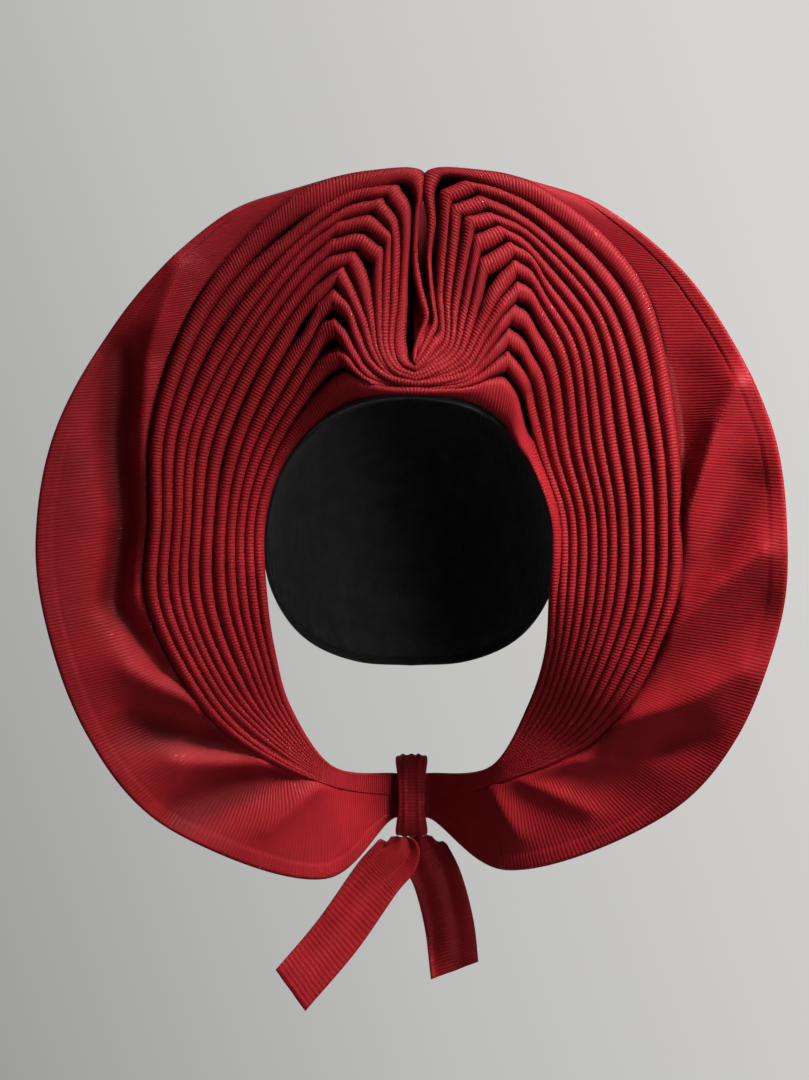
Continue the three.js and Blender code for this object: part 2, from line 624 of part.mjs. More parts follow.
// A tie is a strap of the same cloth, folded double, with a lengthwise crease.
function makeTie(name) {
  const tie = TIES[name];
  const points = tie.points.map((p) => new THREE.Vector3(...p));
  const path = new THREE.CatmullRomCurve3(points, false, "centripetal");
  const side = new THREE.Vector3(1, 0, 0);
  const front = [];
  const back = [];
  for (let i = 0; i <= TIE_STEPS; i += 1) {
    const u = i / TIE_STEPS;
    const middle = path.getPoint(u);
    const along = path.getTangent(u);
    const normal = new THREE.Vector3().crossVectors(along, side).normalize();
    const across = new THREE.Vector3().crossVectors(normal, along).normalize();
    const width = mix(TIE_GATHER, 1, Math.min(1, u / TIE_FULL_AT)) * TIE_WIDTH;
    const frontRow = [];
    const backRow = [];
    for (let j = 0; j <= TIE_RIBS; j += 1) {
      const v = j / TIE_RIBS - 0.5;
      const crease = (j % 2 === 0 ? 0.5 : -0.5) * TIE_CREASE * (1 - TIE_FLATTEN * u);
      const p = middle.clone().addScaledVector(across, v * width);
      p.addScaledVector(along, tie.slant * v * u);
      frontRow.push(p.clone().addScaledVector(normal, TIE_WALL / 2 + crease));
      backRow.push(p.clone().addScaledVector(normal, -TIE_WALL / 2 + crease));
    }
    front.push(frontRow);
    back.push(backRow);
  }
  return named(name, closedWall(front, back), COLOURS.cloth, CLOTH_ROUGHNESS);
}

const gele = new THREE.Group();
gele.add(makeCloth());
gele.add(makeCap());
gele.add(makeBand());
gele.add(makeKnot());
for (const name of Object.keys(TIES)) gele.add(makeTie(name));

export default gele;
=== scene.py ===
import math

import bmesh
import bpy
import numpy as np
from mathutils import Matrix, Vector


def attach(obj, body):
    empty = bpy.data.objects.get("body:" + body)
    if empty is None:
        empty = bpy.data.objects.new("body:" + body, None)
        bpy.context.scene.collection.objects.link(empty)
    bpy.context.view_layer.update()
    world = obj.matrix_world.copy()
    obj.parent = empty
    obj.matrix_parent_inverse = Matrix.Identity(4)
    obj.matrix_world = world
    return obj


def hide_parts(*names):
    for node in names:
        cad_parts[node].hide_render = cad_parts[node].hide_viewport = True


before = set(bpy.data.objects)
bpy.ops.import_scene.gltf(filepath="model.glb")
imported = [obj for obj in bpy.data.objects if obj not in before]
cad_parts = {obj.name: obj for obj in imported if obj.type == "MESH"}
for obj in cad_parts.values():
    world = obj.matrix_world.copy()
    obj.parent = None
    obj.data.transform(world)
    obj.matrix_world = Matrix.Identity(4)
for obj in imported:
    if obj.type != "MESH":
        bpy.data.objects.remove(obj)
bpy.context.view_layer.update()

# Sizes are in millimetres up to the point where a mesh takes them, in metres.
MM = 0.001

# The head room inside the cap, a dome: its half width, half depth and height. Then how far the
# cap stands off it, and the band's wall and width.
HEAD_WIDE, HEAD_DEEP, HEAD_HIGH = 72, 92, 100
CAP_FIT = 0.3
BAND_WALL = 2.0
BAND_WIDTH = 4.8

# The cloth: its pleats on each side, how far it rests off the band, its wall in the solid and as
# it is shown, and the pitch of its cross ribs.
PLEATS = 12
REST_GAP = 0.7
REST_WALL = 1.7
CLOTH_WALL = 0.8
RIB_PITCH = 1.62

# A pleat's roll: its widest half width, the share of the way to its neighbours that it fills, its
# height for its half width, its tallest, and the shares that the inner half of the first fills
# and that of the last fills at most.
ROLL_WIDEST = 4.2
ROLL_SHARE = 0.375
ROLL_HIGH = 1.2
ROLL_TALLEST = 3.4
FIRST_INNER_SHARE = 0.9
LAST_INNER_SHARE = 0.78

# The pockets between pleats: how deep they go, how deep for their width, the depth at which the shade
# painted in them is darkest, and how much deeper than its roll a pocket is at least.
POCKET_DEPTH = 18.0
POCKET_SLOPE = 2.3
POCKET_SHADE_DARKEST = 9.0
POCKET_LEAST = 1.05

# A roll's foot in its pocket: how far out for the free space, the least free space for the way
# to the neighbour, and how far down to the floor. A tucked pleat sinks by a share of the pocket
# that it leaves.
FOOT_OUT, FREE_LEAST, FOOT_DOWN = 0.35, 0.02, 0.75
TUCK_SINK = 0.8

# The groove behind the last roll: its depth, its depth for the roll's half width, and where it
# starts and where the flare's first column lies, in half widths of the roll. Then how the roll
# turns down into it, as half widths out and shares of the way down, and the shares of the
# groove's depth that set the shade painted on the flare's first two columns and its floor.
GROOVE_DEPTH = 8.0
GROOVE_DROP = 2.8
GROOVE_START = 1.15
CREST_OUT, CREST_DOWN = 0.97, 0.75
GROOVE_TURN = ((1.08, 0.5), (1.13, 1.0))
CREST_SHADES, GROOVE_SHADE = (0.3, 0.6), 0.5
# How far the last roll reaches outwards, in its half widths.
LAST_OUTWARD = 2.2
# Shares of the flare's width where the groove's painted shade ends and the folds have full height.
GROOVE_SHADE_TO, FOLDS_FULL_FROM = 0.12, 0.09

# Stations along the pleats, from the nape round each side and over the brow to the dip of the
# swirl. Edge is the cloth's inner edge, first and last are the innermost and outermost pleats,
# hem is the outer edge of the flare. Facing turns the cloth's front face towards the face, in
# degrees. Roll and inner are the half widths of the last pleat, outwards and inwards. The first
# table holds for both sides. Over the brow the pleats have their places in tables of their own.
BOTH_COLUMNS = ("steps", "edge_y", "first_y", "last_y", "facing", "roll")
BOTH_STATIONS = {
    "nape": (0, 63, 63, 64, 0, 0.3),
    "knot": (2, 62.5, 62.5, 63.5, 0, 0.3),
    "neck": (10, 24, 25, 24, 50, 0.3),
    "jaw": (16, 8, 8, 6, 30, 1.2),
    "cheek": (10, -7, -8, -14, 18, 1.8),
    "ear": (9, -17, -19, -28, 15, 2.2),
    "temple": (8, -21, -24, -35, 14, 2.2),
    "rise": (10, -24, -29, -40, 10, 2.4),
    "slant": (12, -38, -41, -45, 5, 3),
    "shoulder": (14, -41, -46, -47, 0, 4),
    "bend": (10, -46, -50, -47, 0, 4.4),
    "peak": (14, -49.5, -53, -47, 0, 4.4),
    "fall": (16, -52, -56, -48, 0, 2.6),
    "leg": (12, -53.5, -57.5, -46, 0, 1),
    "foot": (10, -54.5, -58.5, -50, 0, 0.6),
    "turn": (8, -55, -59, -56, 0, 0.3),
    "dip": (6, -55, -59, -58, 0, 0.3),
}
SIDE_COLUMNS = (
    "edge_x", "edge_z", "hem_x", "hem_z", "hem_y", "inner", "first_x", "first_z", "last_x", "last_z",
)
LEFT_STATIONS = {
    "nape": (-1, -208.5, -1, -229.5, 65, 0.3, -1, -209, -1, -218),
    "knot": (-9, -208, -9, -230, 64.5, 0.3, -9, -208.5, -9, -218),
    "neck": (-40, -201, -43, -258, 32, 0.3, -41, -202, -43.5, -209.5),
    "jaw": (-60, -170, -125.5, -226, -2, 1.0, -61.4, -171.8, -82.5, -188),
    "cheek": (-67, -143.3, -159, -181.5, -22, 1.8, -68.5, -144.9, -104, -164),
    "ear": (-70.5, -116.5, -177.5, -126, -36, 2.2, -72.5, -117, -125.4, -117),
    "temple": (-71, -78, -181, -85.5, -42, 2.3, -74, -78, -123.5, -78),
    "rise": (-61.8, -50.5, -171, -34, -44, 2.6, -64.2, -48, -121.5, -32.3),
    "slant": (-44.5, -31, -136, 25, -42, 4.5),
    "shoulder": (-37, -25.5, -91.5, 68, -36, 8),
    "bend": (-33, -23.6, -63, 82, -14, 10),
    "peak": (-28.5, -21.8, -38, 89, 5, 5),
    "fall": (-21, -19.8, -19, 93, 14, 2.4),
    "leg": (-14, -18.7, -11, 94, 17, 2),
    "foot": (-8, -18.2, -6, 94.5, 18, 1.5),
    "turn": (-2.5, -18, -2.5, 95, 18, 0.6),
    "dip": (1.5, -18, 1.5, 95, 18, 0.5),
}
RIGHT_STATIONS = {
    "nape": (1, -208.5, 1, -229.5, 65, 0.3, 1, -209, 1, -218),
    "knot": (9, -208, 9, -230, 64.5, 0.3, 9, -208.5, 9, -218),
    "neck": (40, -201, 46.5, -253.5, 32, 0.3, 41, -202, 43.5, -208.5),
    "jaw": (57.5, -169, 126.5, -222.5, -2, 1.0, 59.1, -171.3, 83.8, -189.8),
    "cheek": (65.2, -142.8, 159, -183, -22, 1.8, 67.2, -144.3, 106.2, -163.5),
    "ear": (66.8, -116, 179, -123, -36, 2.4, 68.7, -117, 125, -117),
    "temple": (66.6, -78, 180.7, -85.5, -42, 2.6, 69, -78, 127, -78),
    "rise": (56.3, -50.5, 172.7, -32.5, -44, 3.4, 58.7, -48, 123.6, -32.3),
    "slant": (51.4, -44, 135, 36, -42, 5),
    "shoulder": (48.8, -40, 92, 72.5, -38, 6.5),
    "bend": (45.7, -35.5, 66, 84, -24, 4.5),
    "peak": (41.3, -31, 43, 90, -4, 3),
    "fall": (34, -25.7, 22, 93, 12, 2.4),
    "leg": (25.5, -21.6, 13, 94, 17, 2),
    "foot": (16, -19.1, 8, 94.5, 18, 1.5),
    "turn": (8, -18.2, 4.5, 95, 18, 0.6),
    "dip": (1.5, -18, 1.5, 95, 18, 0.5),
}
GATHERED = ("nape", "knot", "neck", "jaw")
OFF_CAP = GATHERED + ("cheek", "ear")

# One row per pleat, innermost first: its place between the first and last pleat along the
# side, then the ridge's X and Z at each station over the brow.
PLEAT_COLUMNS = ("flank", "slant", "shoulder", "bend", "peak", "fall", "leg", "foot", "turn")
LEFT_PLEATS = (
    (0, (-47.5, -24.5), (-41.5, -18.5), (-36, -14), (-31, -11.8),
        (-24, -13.6), (-17.5, -15.2), (-11.5, -16.2), (-5.5, -16.8)),
    (0.09, (-53, -18), (-45.5, -8), (-40, -2.5), (-35, 0),
        (-31, -3), (-26.5, -8), (-20, -12.5), (-10.5, -14.6)),
    (0.18, (-56.5, -13), (-48.5, 1.5), (-42, 11.5), (-37, 14),
        (-32.5, 8), (-28, 0), (-21.5, -8.5), (-11.5, -13)),
    (0.27, (-61.5, -7.5), (-52, 8), (-45, 22), (-38.5, 28),
        (-31, 22), (-27.5, 11.5), (-20.5, -3), (-11.5, -10.5)),
    (0.37, (-67.5, -2), (-52, 23.5), (-43, 32.5), (-35.5, 40),
        (-30, 30), (-23.8, 17), (-18.5, 1), (-11, -9)),
    (0.5, (-73, 3.5), (-54, 31), (-40.5, 44.5), (-29, 47),
        (-24.5, 36), (-20.6, 21), (-16.5, 1.5), (-9.8, -8)),
    (0.61, (-77.5, 7.5), (-54, 39.5), (-39, 53), (-26, 55.5),
        (-16, 48.5), (-16.2, 26), (-14.3, 2.5), (-8.5, -7)),
    (0.71, (-81, 11.5), (-54, 48), (-37, 62), (-22, 64.5),
        (-11.5, 57), (-12.7, 27.5), (-12.4, 3), (-7.2, -6)),
    (0.79, (-85, 15.5), (-54, 54), (-32, 69), (-17, 73.5),
        (-9.5, 63), (-8.7, 29), (-10, 4), (-6, -5)),
    (0.86, (-89, 19), (-54, 56.5), (-30.5, 72.5), (-14, 76.5),
        (-6.8, 67), (-6.6, 30.5), (-8.4, 4.5), (-5, -4.4)),
    (0.895, (-92, 22.5), (-54, 60), (-29, 77.5), (-10.5, 80),
        (-3.8, 68.5), (-4.4, 32), (-6.8, 5), (-3.8, -3.6)),
    (1, (-97.5, 29.5), (-54, 75), (-29, 83.5), (0.5, 87),
        (3.4, 79), (1.6, 46), (5.8, 15), (1.2, 0)),
)
RIGHT_PLEATS = (
    (0, (54, -39), (51, -30), (48, -21.5), (43.5, -15),
        (36, -14.3), (28.5, -16.2), (18.5, -17), (9, -17.2)),
    (0.08, (55, -17.5), (55, -15), (52, -9.5), (45.8, -2),
        (39, -6.5), (32, -11), (23, -14.4), (12, -15.5)),
    (0.15, (61, -11.5), (57, -4), (52, 4.5), (45.5, 9),
        (40, 2.5), (34, -4), (25.5, -11.5), (13, -13.8)),
    (0.23, (66.5, -6), (59, 8.5), (54, 17), (48, 20.5),
        (42.5, 14.5), (36, 5), (27, -8), (13.8, -12.2)),
    (0.32, (72.5, 0), (61.5, 21), (56, 29.5), (51, 31.5),
        (43.5, 24), (34.4, 10.5), (25.8, -4.5), (13.2, -10.4)),
    (0.4, (77, 4.5), (64, 27), (56.5, 38.5), (49.5, 43),
        (39, 29), (31.8, 13), (24, -1.8), (12, -8.8)),
    (0.48, (81, 8.5), (64, 35), (57, 47), (48.5, 51.5),
        (34, 42.5), (27.6, 17), (21.8, 0.2), (10.8, -7.2)),
    (0.57, (85.5, 13), (64, 42.5), (53, 54.5), (43, 60.5),
        (31.5, 54), (24.4, 20), (19.8, 2.2), (9.6, -5.8)),
    (0.68, (90, 18), (64, 51), (52.5, 61), (38.5, 66.5),
        (28.5, 65), (20.8, 26), (18, 4.2), (8.6, -4.4)),
    (0.78, (94, 21.5), (64, 56.5), (47, 68.5), (35, 74),
        (20.5, 69.5), (17, 29), (16, 6.6), (7.2, -3)),
    (0.9, (99.5, 27), (64, 65), (44.5, 77.5), (28.5, 83),
        (17.3, 77.5), (13.3, 32), (14, 9.8), (5.9, -1.2)),
    (1, (107, 34.5), (64, 76), (42, 84.5), (12.5, 88.2),
        (8.2, 82), (8, 48), (11, 16.5), (4.6, 2.2)),
)
# Where the two halves of the pleats meet under the swirl: their X, and each pleat's Z there.
DIP_X = 1.5
DIP_Z = (-16.9, -15.2, -13.9, -13.1, -12.5, -11.8, -11, -9.5, -7.8, -6.9, -6.1, -3.6)
# How far pleats are tucked out of sight between their neighbours, by pleat number and station.
LEFT_TUCKS = {
    9: {
        "jaw": 0.6, "cheek": 1, "ear": 1, "temple": 1, "rise": 1, "slant": 1, "shoulder": 1,
        "bend": 1, "peak": 1, "fall": 1, "leg": 1, "foot": 1,
    },
    8: {"foot": 0.2}, 5: {"foot": 0.2}, 4: {}, 2: {}, 1: {},
}
RIGHT_TUCKS = {9: {}, 8: {}, 5: {}, 4: {}, 2: {}, 1: {}}
TUCKED_ENDS = {"turn": 0.6, "dip": 1}
# The stations where each pleat is creased sharply, by pleat number, and how much of the way to
# its neighbours it stays straight there.
CREASE_STIFF = 0.22
PEAKED = {number: ("peak",) for number in range(1, 11)}
LEFT_CREASES = {**PEAKED, 3: ("bend", "peak"), 6: ("bend", "fall"), 7: ("bend", "fall")}
RIGHT_CREASES = {**PEAKED, **{number: ("peak", "fall") for number in range(6, 11)}}
# More points of the pleats nearest the middle, between stations: place, X and Z.
LEFT_BENDS = {11: ((12.4, 2.2, 68), (13.5, 4.9, 28), (13.8, 7, 20), (14.4, 3.2, 8.6), (14.7, 1.7, 3.4))}
RIGHT_BENDS = {
    11: ((12.4, 9.2, 66), (13.5, 9.6, 28), (14.4, 8.1, 9.8), (14.7, 5.6, 4.6)),
    10: ((13.5, 14, 22), (14.5, 10.2, 5.5)),
}

# Soft folds of the flare: height in front of the sheet, negative for a valley, width, and the
# points along each.
FOLDS = (
    (8, 5, (
        (-113, 43), (-127.5, 3.5), (-131, -35), (-130, -78), (-135, -116.5), (-124, -139),
        (-105, -160), (-74, -180.5),
    )),
    (-11, 6, ((-138, 0), (-141, -35), (-137, -78), (-143.5, -116.5), (-121.5, -149.5), (-94.5, -165))),
    (7.5, 7, ((-140, -151), (-100, -172.5), (-53, -196))),
    (-8, 7, ((-135, -178), (-100, -186), (-74, -191))),
    (5, 5, ((-118, -197.5), (-47.5, -200))),
    (-8, 7, ((-111, -220), (-84, -210), (-50, -203))),
    (5, 5, ((-74, -232), (-58, -217), (-42, -207))),
    (10, 4, ((157, -14), (148, -32), (139.5, -61), (131.5, -84), (126, -100))),
    (-5, 6, ((162, -62), (145.5, -97.5), (131, -115))),
    (8, 6, ((170, -94), (146, -114), (134.5, -126), (117, -146), (94, -167))),
    (-3.5, 6, ((169.5, -124), (138, -146), (109.5, -169))),
    (7, 6, ((162, -151), (135.5, -167), (115.5, -174), (84, -189), (55.5, -199))),
    (-4, 5, ((138, -184.5), (100, -194))),
    (-4, 6, ((134, -12), (126.5, -48), (124, -82))),
    (3.5, 3.5, ((114, -194.5), (93.5, -196.5), (67.5, -200), (44, -202))),
    (3.5, 3.5, ((90, -222), (67.5, -212), (47.5, -204.5))),
    (4, 4, ((55.5, -235), (47.5, -221.5), (39.5, -207.5))),
)

# How round a fold's crest is, how dark the shade painted in a valley is for its depth and how much
# wider than a crest, and the shares of its width that a fold has at its first and last point. Its
# height follows half a wave: how far into it the fold starts, and how blunt it is.
FOLD_SOFT = 1.6
VALLEY_SHADE, VALLEY_WIDER = 0.5, 1.5
FOLD_FIRST_WIDTH, FOLD_LAST_WIDTH = 1.5, 0.75
FOLD_START, FOLD_BLUNT = 0.25, 0.6

# Places across one roll, in degrees from its top, the columns of the flare and the pitch at which
# its weave counts them, and how many times the table's steps its rows have.
ROLL_ANGLES = (-90, -62, -32, 0, 32, 62, 90)
FLARE_COLUMNS, FLARE_PITCH = 44, 1.4
FLARE_FINER = {
    "neck": 1.5, "jaw": 2.6, "cheek": 2.4, "ear": 2.4, "temple": 2.4, "rise": 2.4, "slant": 2.4,
    "shoulder": 1.6, "bend": 1.4, "fall": 0.6, "leg": 0.5, "foot": 0.5, "turn": 0.5, "dip": 0.5,
}

# The hem's strip: its width, the most of the flare that it takes, how far it stands in front and
# over what width it steps up, the depth and width of the dent along its stitches, and how far and
# over what width its edge turns back.
HEM_WIDTH, HEM_MOST = 8, 0.3
HEM_STEP, HEM_STEP_WIDTH = 0.35, 0.8
HEM_DENT, HEM_DENT_WIDTH = 0.22, 0.7
HEM_TURN, HEM_TURN_WIDTH = 0.5, 1.0

# The cap: places round it and from its crown to its edge, how much they crowd towards the crown,
# its wall, its gap to the band, and its gathers: how many, how high, and how far up they reach.
CAP_TURNS, CAP_RINGS, CAP_CROWDING = 256, 36, 1.3
CAP_SHOWN, CAP_GAP = 1.2, 0.1
CAP_GATHERS, GATHER_HIGH, GATHER_LONG = 64, 0.32, 9

# The band's section, out from the head and up from its lower edge, and the height of that edge by
# degrees from the front.
BAND_SECTION = (
    (0, 0.5), (0, 4.3), (0.5, 4.8), (1.5, 4.75), (2.0, 4.2), (1.8, 3.6), (2.0, 3.0), (1.8, 2.4),
    (2.0, 1.8), (1.8, 1.2), (2.0, 0.6), (1.5, 0.05), (0.5, 0),
)
BAND_LINE = (
    (0, -21), (20, -23.5), (38, -30), (54, -40), (68, -51), (80, -66), (92, -86),
    (110, -112), (135, -138), (160, -150), (180, -152),
)

# The knot: its middle, its width, and the half height and half depth of its ring and its hole.
# Then how much its sides are pinched, how square its section is across and outwards, and the
# depth, roundness and sway of its folds.
KNOT = {
    "y": 64.8, "z": -219, "wide": 15, "high": 22, "deep": 12, "hole_high": 14, "hole_deep": 4.4,
}
KNOT_TURNS, KNOT_COLUMNS, KNOT_FOLDS = 96, 48, 4
KNOT_PINCH, KNOT_SQUARE_ACROSS, KNOT_SQUARE_OUT = 0.1, 0.7, 0.6
KNOT_FOLD_DEPTH, KNOT_FOLD_ROUND, KNOT_FOLD_SWAY = 0.16, 0.6, 0.7

# The ties: how far each end is cut aslant, and the points along it from the knot.
TIES = {
    "tie_left": (6, (
        (-5, 61.5, -239.9), (-5.5, 61.3, -246), (-17, 61.5, -260), (-38.5, 61, -290.5),
        (-62, 57, -318),
    )),
    "tie_right": (-6, (
        (5, 68, -240.0), (5.5, 68.8, -246), (13, 69, -262), (19, 68, -285), (22, 65, -309),
    )),
}
# A tie's width, the share of it at the knot, how far along it is full, its lengthwise crease, how
# far that drifts and flattens out along it, the height of its ripples and their turns along and
# across it, the hem's height, where the hem starts across it, and its wall.
TIE_WIDTH, TIE_GATHER, TIE_FULL_AT = 25, 0.44, 1 / 3
TIE_CREASE, TIE_CREASE_DRIFT, TIE_CREASE_FADE = 1.44, 0.25, 0.6
TIE_RIPPLE, TIE_RIPPLES_ALONG, TIE_RIPPLES_ACROSS = 0.5, 9, 5
TIE_HEM, TIE_HEM_AT = 0.3, 0.43
TIE_SHOWN = 1.3
TIE_ROWS, TIE_COLUMNS = 72, 25


# Shapes of the cloth

def station(table, name):
    return dict(zip(BOTH_COLUMNS + SIDE_COLUMNS, BOTH_STATIONS[name] + table[name]))


def mix(a, b, share):
    return a + (b - a) * share


def unit(vectors):
    return vectors / np.linalg.norm(vectors, axis=1)[:, None]


def rest_front(x, z):
    """Depth at which the cloth's back rests just off the band, at a place seen from the front."""
    margin = CAP_FIT + BAND_WALL
    across = x / (HEAD_WIDE + margin)
    up = (z + HEAD_HIGH) / (HEAD_HIGH + margin)
    return -(HEAD_DEEP + margin) * math.sqrt(max(0.0, 1 - across ** 2 - up ** 2)) - REST_GAP


def spline(knots, points, at):
    """A centripetal curve through points, one at each knot, read at the places in at."""
    points = np.asarray(points, float)
    ends = 2 * points[:1] - points[1:2], 2 * points[-1:] - points[-2:-1]
    padded = np.concatenate([ends[0], points, ends[1]])
    knots = np.asarray(knots, float)
    i = np.clip(np.searchsorted(knots, at, side="right") - 1, 0, len(knots) - 2)
    share = ((at - knots[i]) / (knots[i + 1] - knots[i]))[:, None]
    p0, p1, p2, p3 = padded[i], padded[i + 1], padded[i + 2], padded[i + 3]

    def gap(a, b):
        return np.maximum(np.linalg.norm(b - a, axis=1), 1e-6)[:, None] ** 0.5

    d0, d1, d2 = gap(p0, p1), gap(p1, p2), gap(p2, p3)
    t1 = ((p1 - p0) / d0 - (p2 - p0) / (d0 + d1) + (p2 - p1) / d1) * d1
    t2 = ((p2 - p1) / d1 - (p3 - p1) / (d1 + d2) + (p3 - p2) / d2) * d1
    a = 2 * p1 - 2 * p2 + t1 + t2
    b = -3 * p1 + 3 * p2 - 2 * t1 - t2
    return ((a * share + b) * share + t1) * share + p1


def ridge_points(stations, pleats, number):
    share = number / (PLEATS - 1)
    row = pleats[number]
    points = []
    for name in stations:
        s = station(stations, name)
        depth = mix(s["first_y"], s["last_y"], share)
        if name == "dip":
            points.append((DIP_X, depth, DIP_Z[number]))
            continue
        if name in PLEAT_COLUMNS:
            x, z = row[PLEAT_COLUMNS.index(name)]
        else:
            even = share if name in GATHERED else row[0]
            x = mix(s["first_x"], s["last_x"], even)
            z = mix(s["first_z"], s["last_z"], even)
        if name not in OFF_CAP:
            depth = min(depth, rest_front(x, z) - REST_WALL)
        points.append((x, depth, z))
    return points


def edge_points(stations):
    points = []
    for name in stations:
        s = station(stations, name)
        depth = s["edge_y"]
        if name not in OFF_CAP:
            depth = min(depth, rest_front(s["edge_x"], s["edge_z"]) - REST_WALL)
        points.append((s["edge_x"], depth, s["edge_z"]))
    return points


def hem_points(stations):
    rows = [station(stations, name) for name in stations]
    return [(s["hem_x"], s["hem_y"], s["hem_z"]) for s in rows]


def refine(points, names, creases, bends):
    """Adds points close to each crease, so that the pleat folds sharply there, and the bends."""
    p = [np.array(q, float) for q in points]
    placed = {float(i): q for i, q in enumerate(p)}
    for name in creases:
        i = names.index(name)
        placed[i - CREASE_STIFF] = mix(p[i], p[i - 1], CREASE_STIFF)
        placed[i + CREASE_STIFF] = mix(p[i], p[i + 1], CREASE_STIFF)
    for place, x, z in bends:
        i = int(place)
        depth = mix(p[i][1], p[i + 1][1], place - i)
        placed[place] = np.array((x, depth, z), float)
    knots = sorted(placed)
    return knots, [placed[k] for k in knots]


def fold_lift(x, z):
    """How far the soft folds lift the flare at places seen from the front. Each fold is widest at
    its first point and runs out to nothing at its last."""
    lift = np.zeros_like(x)
    for height, width, points in FOLDS:
        reach = lengths(np.array(points, float))
        nearest, place = np.full_like(x, 1e9), np.zeros_like(x)
        for (ax, az), (bx, bz), begin, end in zip(points, points[1:], reach, reach[1:]):
            span = (bx - ax) ** 2 + (bz - az) ** 2
            along = np.clip(((x - ax) * (bx - ax) + (z - az) * (bz - az)) / span, 0, 1)
            away = np.hypot(x - mix(ax, bx, along), z - mix(az, bz, along))
            place = np.where(away < nearest, mix(begin, end, along) / reach[-1], place)
            nearest = np.minimum(nearest, away)
        wide = width * mix(FOLD_FIRST_WIDTH, FOLD_LAST_WIDTH, place)
        ends = np.sin(np.pi * np.clip(mix(FOLD_START, 1, place), 0, 1)) ** FOLD_BLUNT
        softened = np.sqrt(nearest ** 2 + FOLD_SOFT ** 2) - FOLD_SOFT
        crest = np.exp(-softened / wide)
        valley = np.exp(-((nearest / (VALLEY_WIDER * wide)) ** 2))
        lift += height * ends * (crest if height > 0 else valley)
    return lift


def free_depth(points, rests):
    """How far back the cloth may go at each row before it meets the cap. Rests is 1 where the
    cap lies behind the row and 0 where nothing does."""
    room = [max(0.0, rest_front(x, z) - y) for x, y, z in points]
    return mix(POCKET_DEPTH, np.array(room), np.array(rests))


def lengths(curve):
    """Distance along a curve at each of its points."""
    steps = np.linalg.norm(np.diff(curve, axis=0), axis=1)
    return np.concatenate([[0.0], np.cumsum(steps)])


def side_rows(stations, side, finer):
    """Where the rows of one side lie between the stations, and the sizes that change along them.
    Finer is how many rows there are for each of the table's steps, by station."""
    names = list(stations)
    at, sizes, rests = [], [], []
    for i, name in enumerate(names):
        here = station(stations, name)
        name_before = names[max(0, i - 1)]
        before = station(stations, name_before)
        steps = max(1, round(here["steps"] * finer.get(name, 1)))
        for k in range(1, steps + 1):
            share = k / steps if i else 1
            at.append(i - 1 + share if i else 0)
            sizes.append([mix(before[c], here[c], share) for c in ("facing", "roll", "inner")])
            rests.append(mix(name_before not in OFF_CAP, name not in OFF_CAP, share))
    facing, roll, inner = np.array(sizes, float).T
    facing = np.radians(-side * facing)
    normal = np.stack([np.sin(facing), -np.cos(facing), 0 * facing], axis=1)
    return names, np.array(at, float), normal, roll, inner, rests


def ridge_line(stations, pleats, number, names, at, creases, bends):
    points = ridge_points(stations, pleats, number)
    return spline(*refine(points, names, creases.get(number, ()), bends.get(number, ())), at)


def groove_behind(ridge, before, roll):
    """The way outwards from the last roll at each row, and how deep the groove behind it is."""
    return unit(ridge - before), np.minimum(GROOVE_DEPTH, GROOVE_DROP * roll)


def flare_side(stations, pleats, side, creases, bends):
    """Front points of one side's flare, rows from the nape to the dip, columns from the groove
    behind the last roll to the hem, and how far along the flare each row lies."""
    names, at, normal, roll, _, _ = side_rows(stations, side, FLARE_FINER)
    ridge, before = (
        ridge_line(stations, pleats, j, names, at, creases, bends) for j in (PLEATS - 1, PLEATS - 2)
    )
    hem = spline(range(len(names)), hem_points(stations), at)
    away, deep = groove_behind(ridge, before, roll)
    start = ridge + away * (GROOVE_START * roll)[:, None] - normal * deep[:, None]
    crest = ridge + away * (CREST_OUT * roll)[:, None] - normal * (CREST_DOWN * roll)[:, None]
    run = np.linalg.norm(hem - start, axis=1)
    hem_line = 1 - np.minimum(HEM_MOST, HEM_WIDTH / run)
    columns = [crest, mix(crest, start, 0.5)]
    shade_depths = [share * deep for share in CREST_SHADES]
    for k in range(FLARE_COLUMNS):
        share = k / (FLARE_COLUMNS - 1)
        points = start + share * (hem - start)
        fade = math.sin(math.pi * min(1.0, share / FOLDS_FULL_FROM) * 0.5)
        lift = fold_lift(points[:, 0], points[:, 2]) * fade
        past = (share - hem_line) * run
        strip = np.clip(past / HEM_STEP_WIDTH, 0, 1) * HEM_STEP
        dent = HEM_DENT * np.exp(-((past / HEM_DENT_WIDTH) ** 2))
        turned = HEM_TURN * np.clip(share * run - run + HEM_TURN_WIDTH, 0, 1) ** 2
        columns.append(points + normal * (lift + strip - dent - turned)[:, None])
        # The groove, the valleys of the folds and the hem's dent get shade painted by their depth.
        groove = GROOVE_SHADE * deep * max(0.0, 1 - share / GROOVE_SHADE_TO)
        shade_depths.append(groove + VALLEY_SHADE * np.maximum(0, -lift) + dent)
    middle = columns[FLARE_COLUMNS // 2]
    return np.stack(columns, axis=1), lengths(middle), np.stack(shade_depths, axis=1)


def tucked(tucks, number, names, at):
    """How far a pleat is tucked out of sight at each row, 0 to 1."""
    if number not in tucks:
        return np.zeros(len(at))
    shares = {**tucks[number], **TUCKED_ENDS}
    return np.interp(at, range(len(names)), [shares.get(name, 0) for name in names])


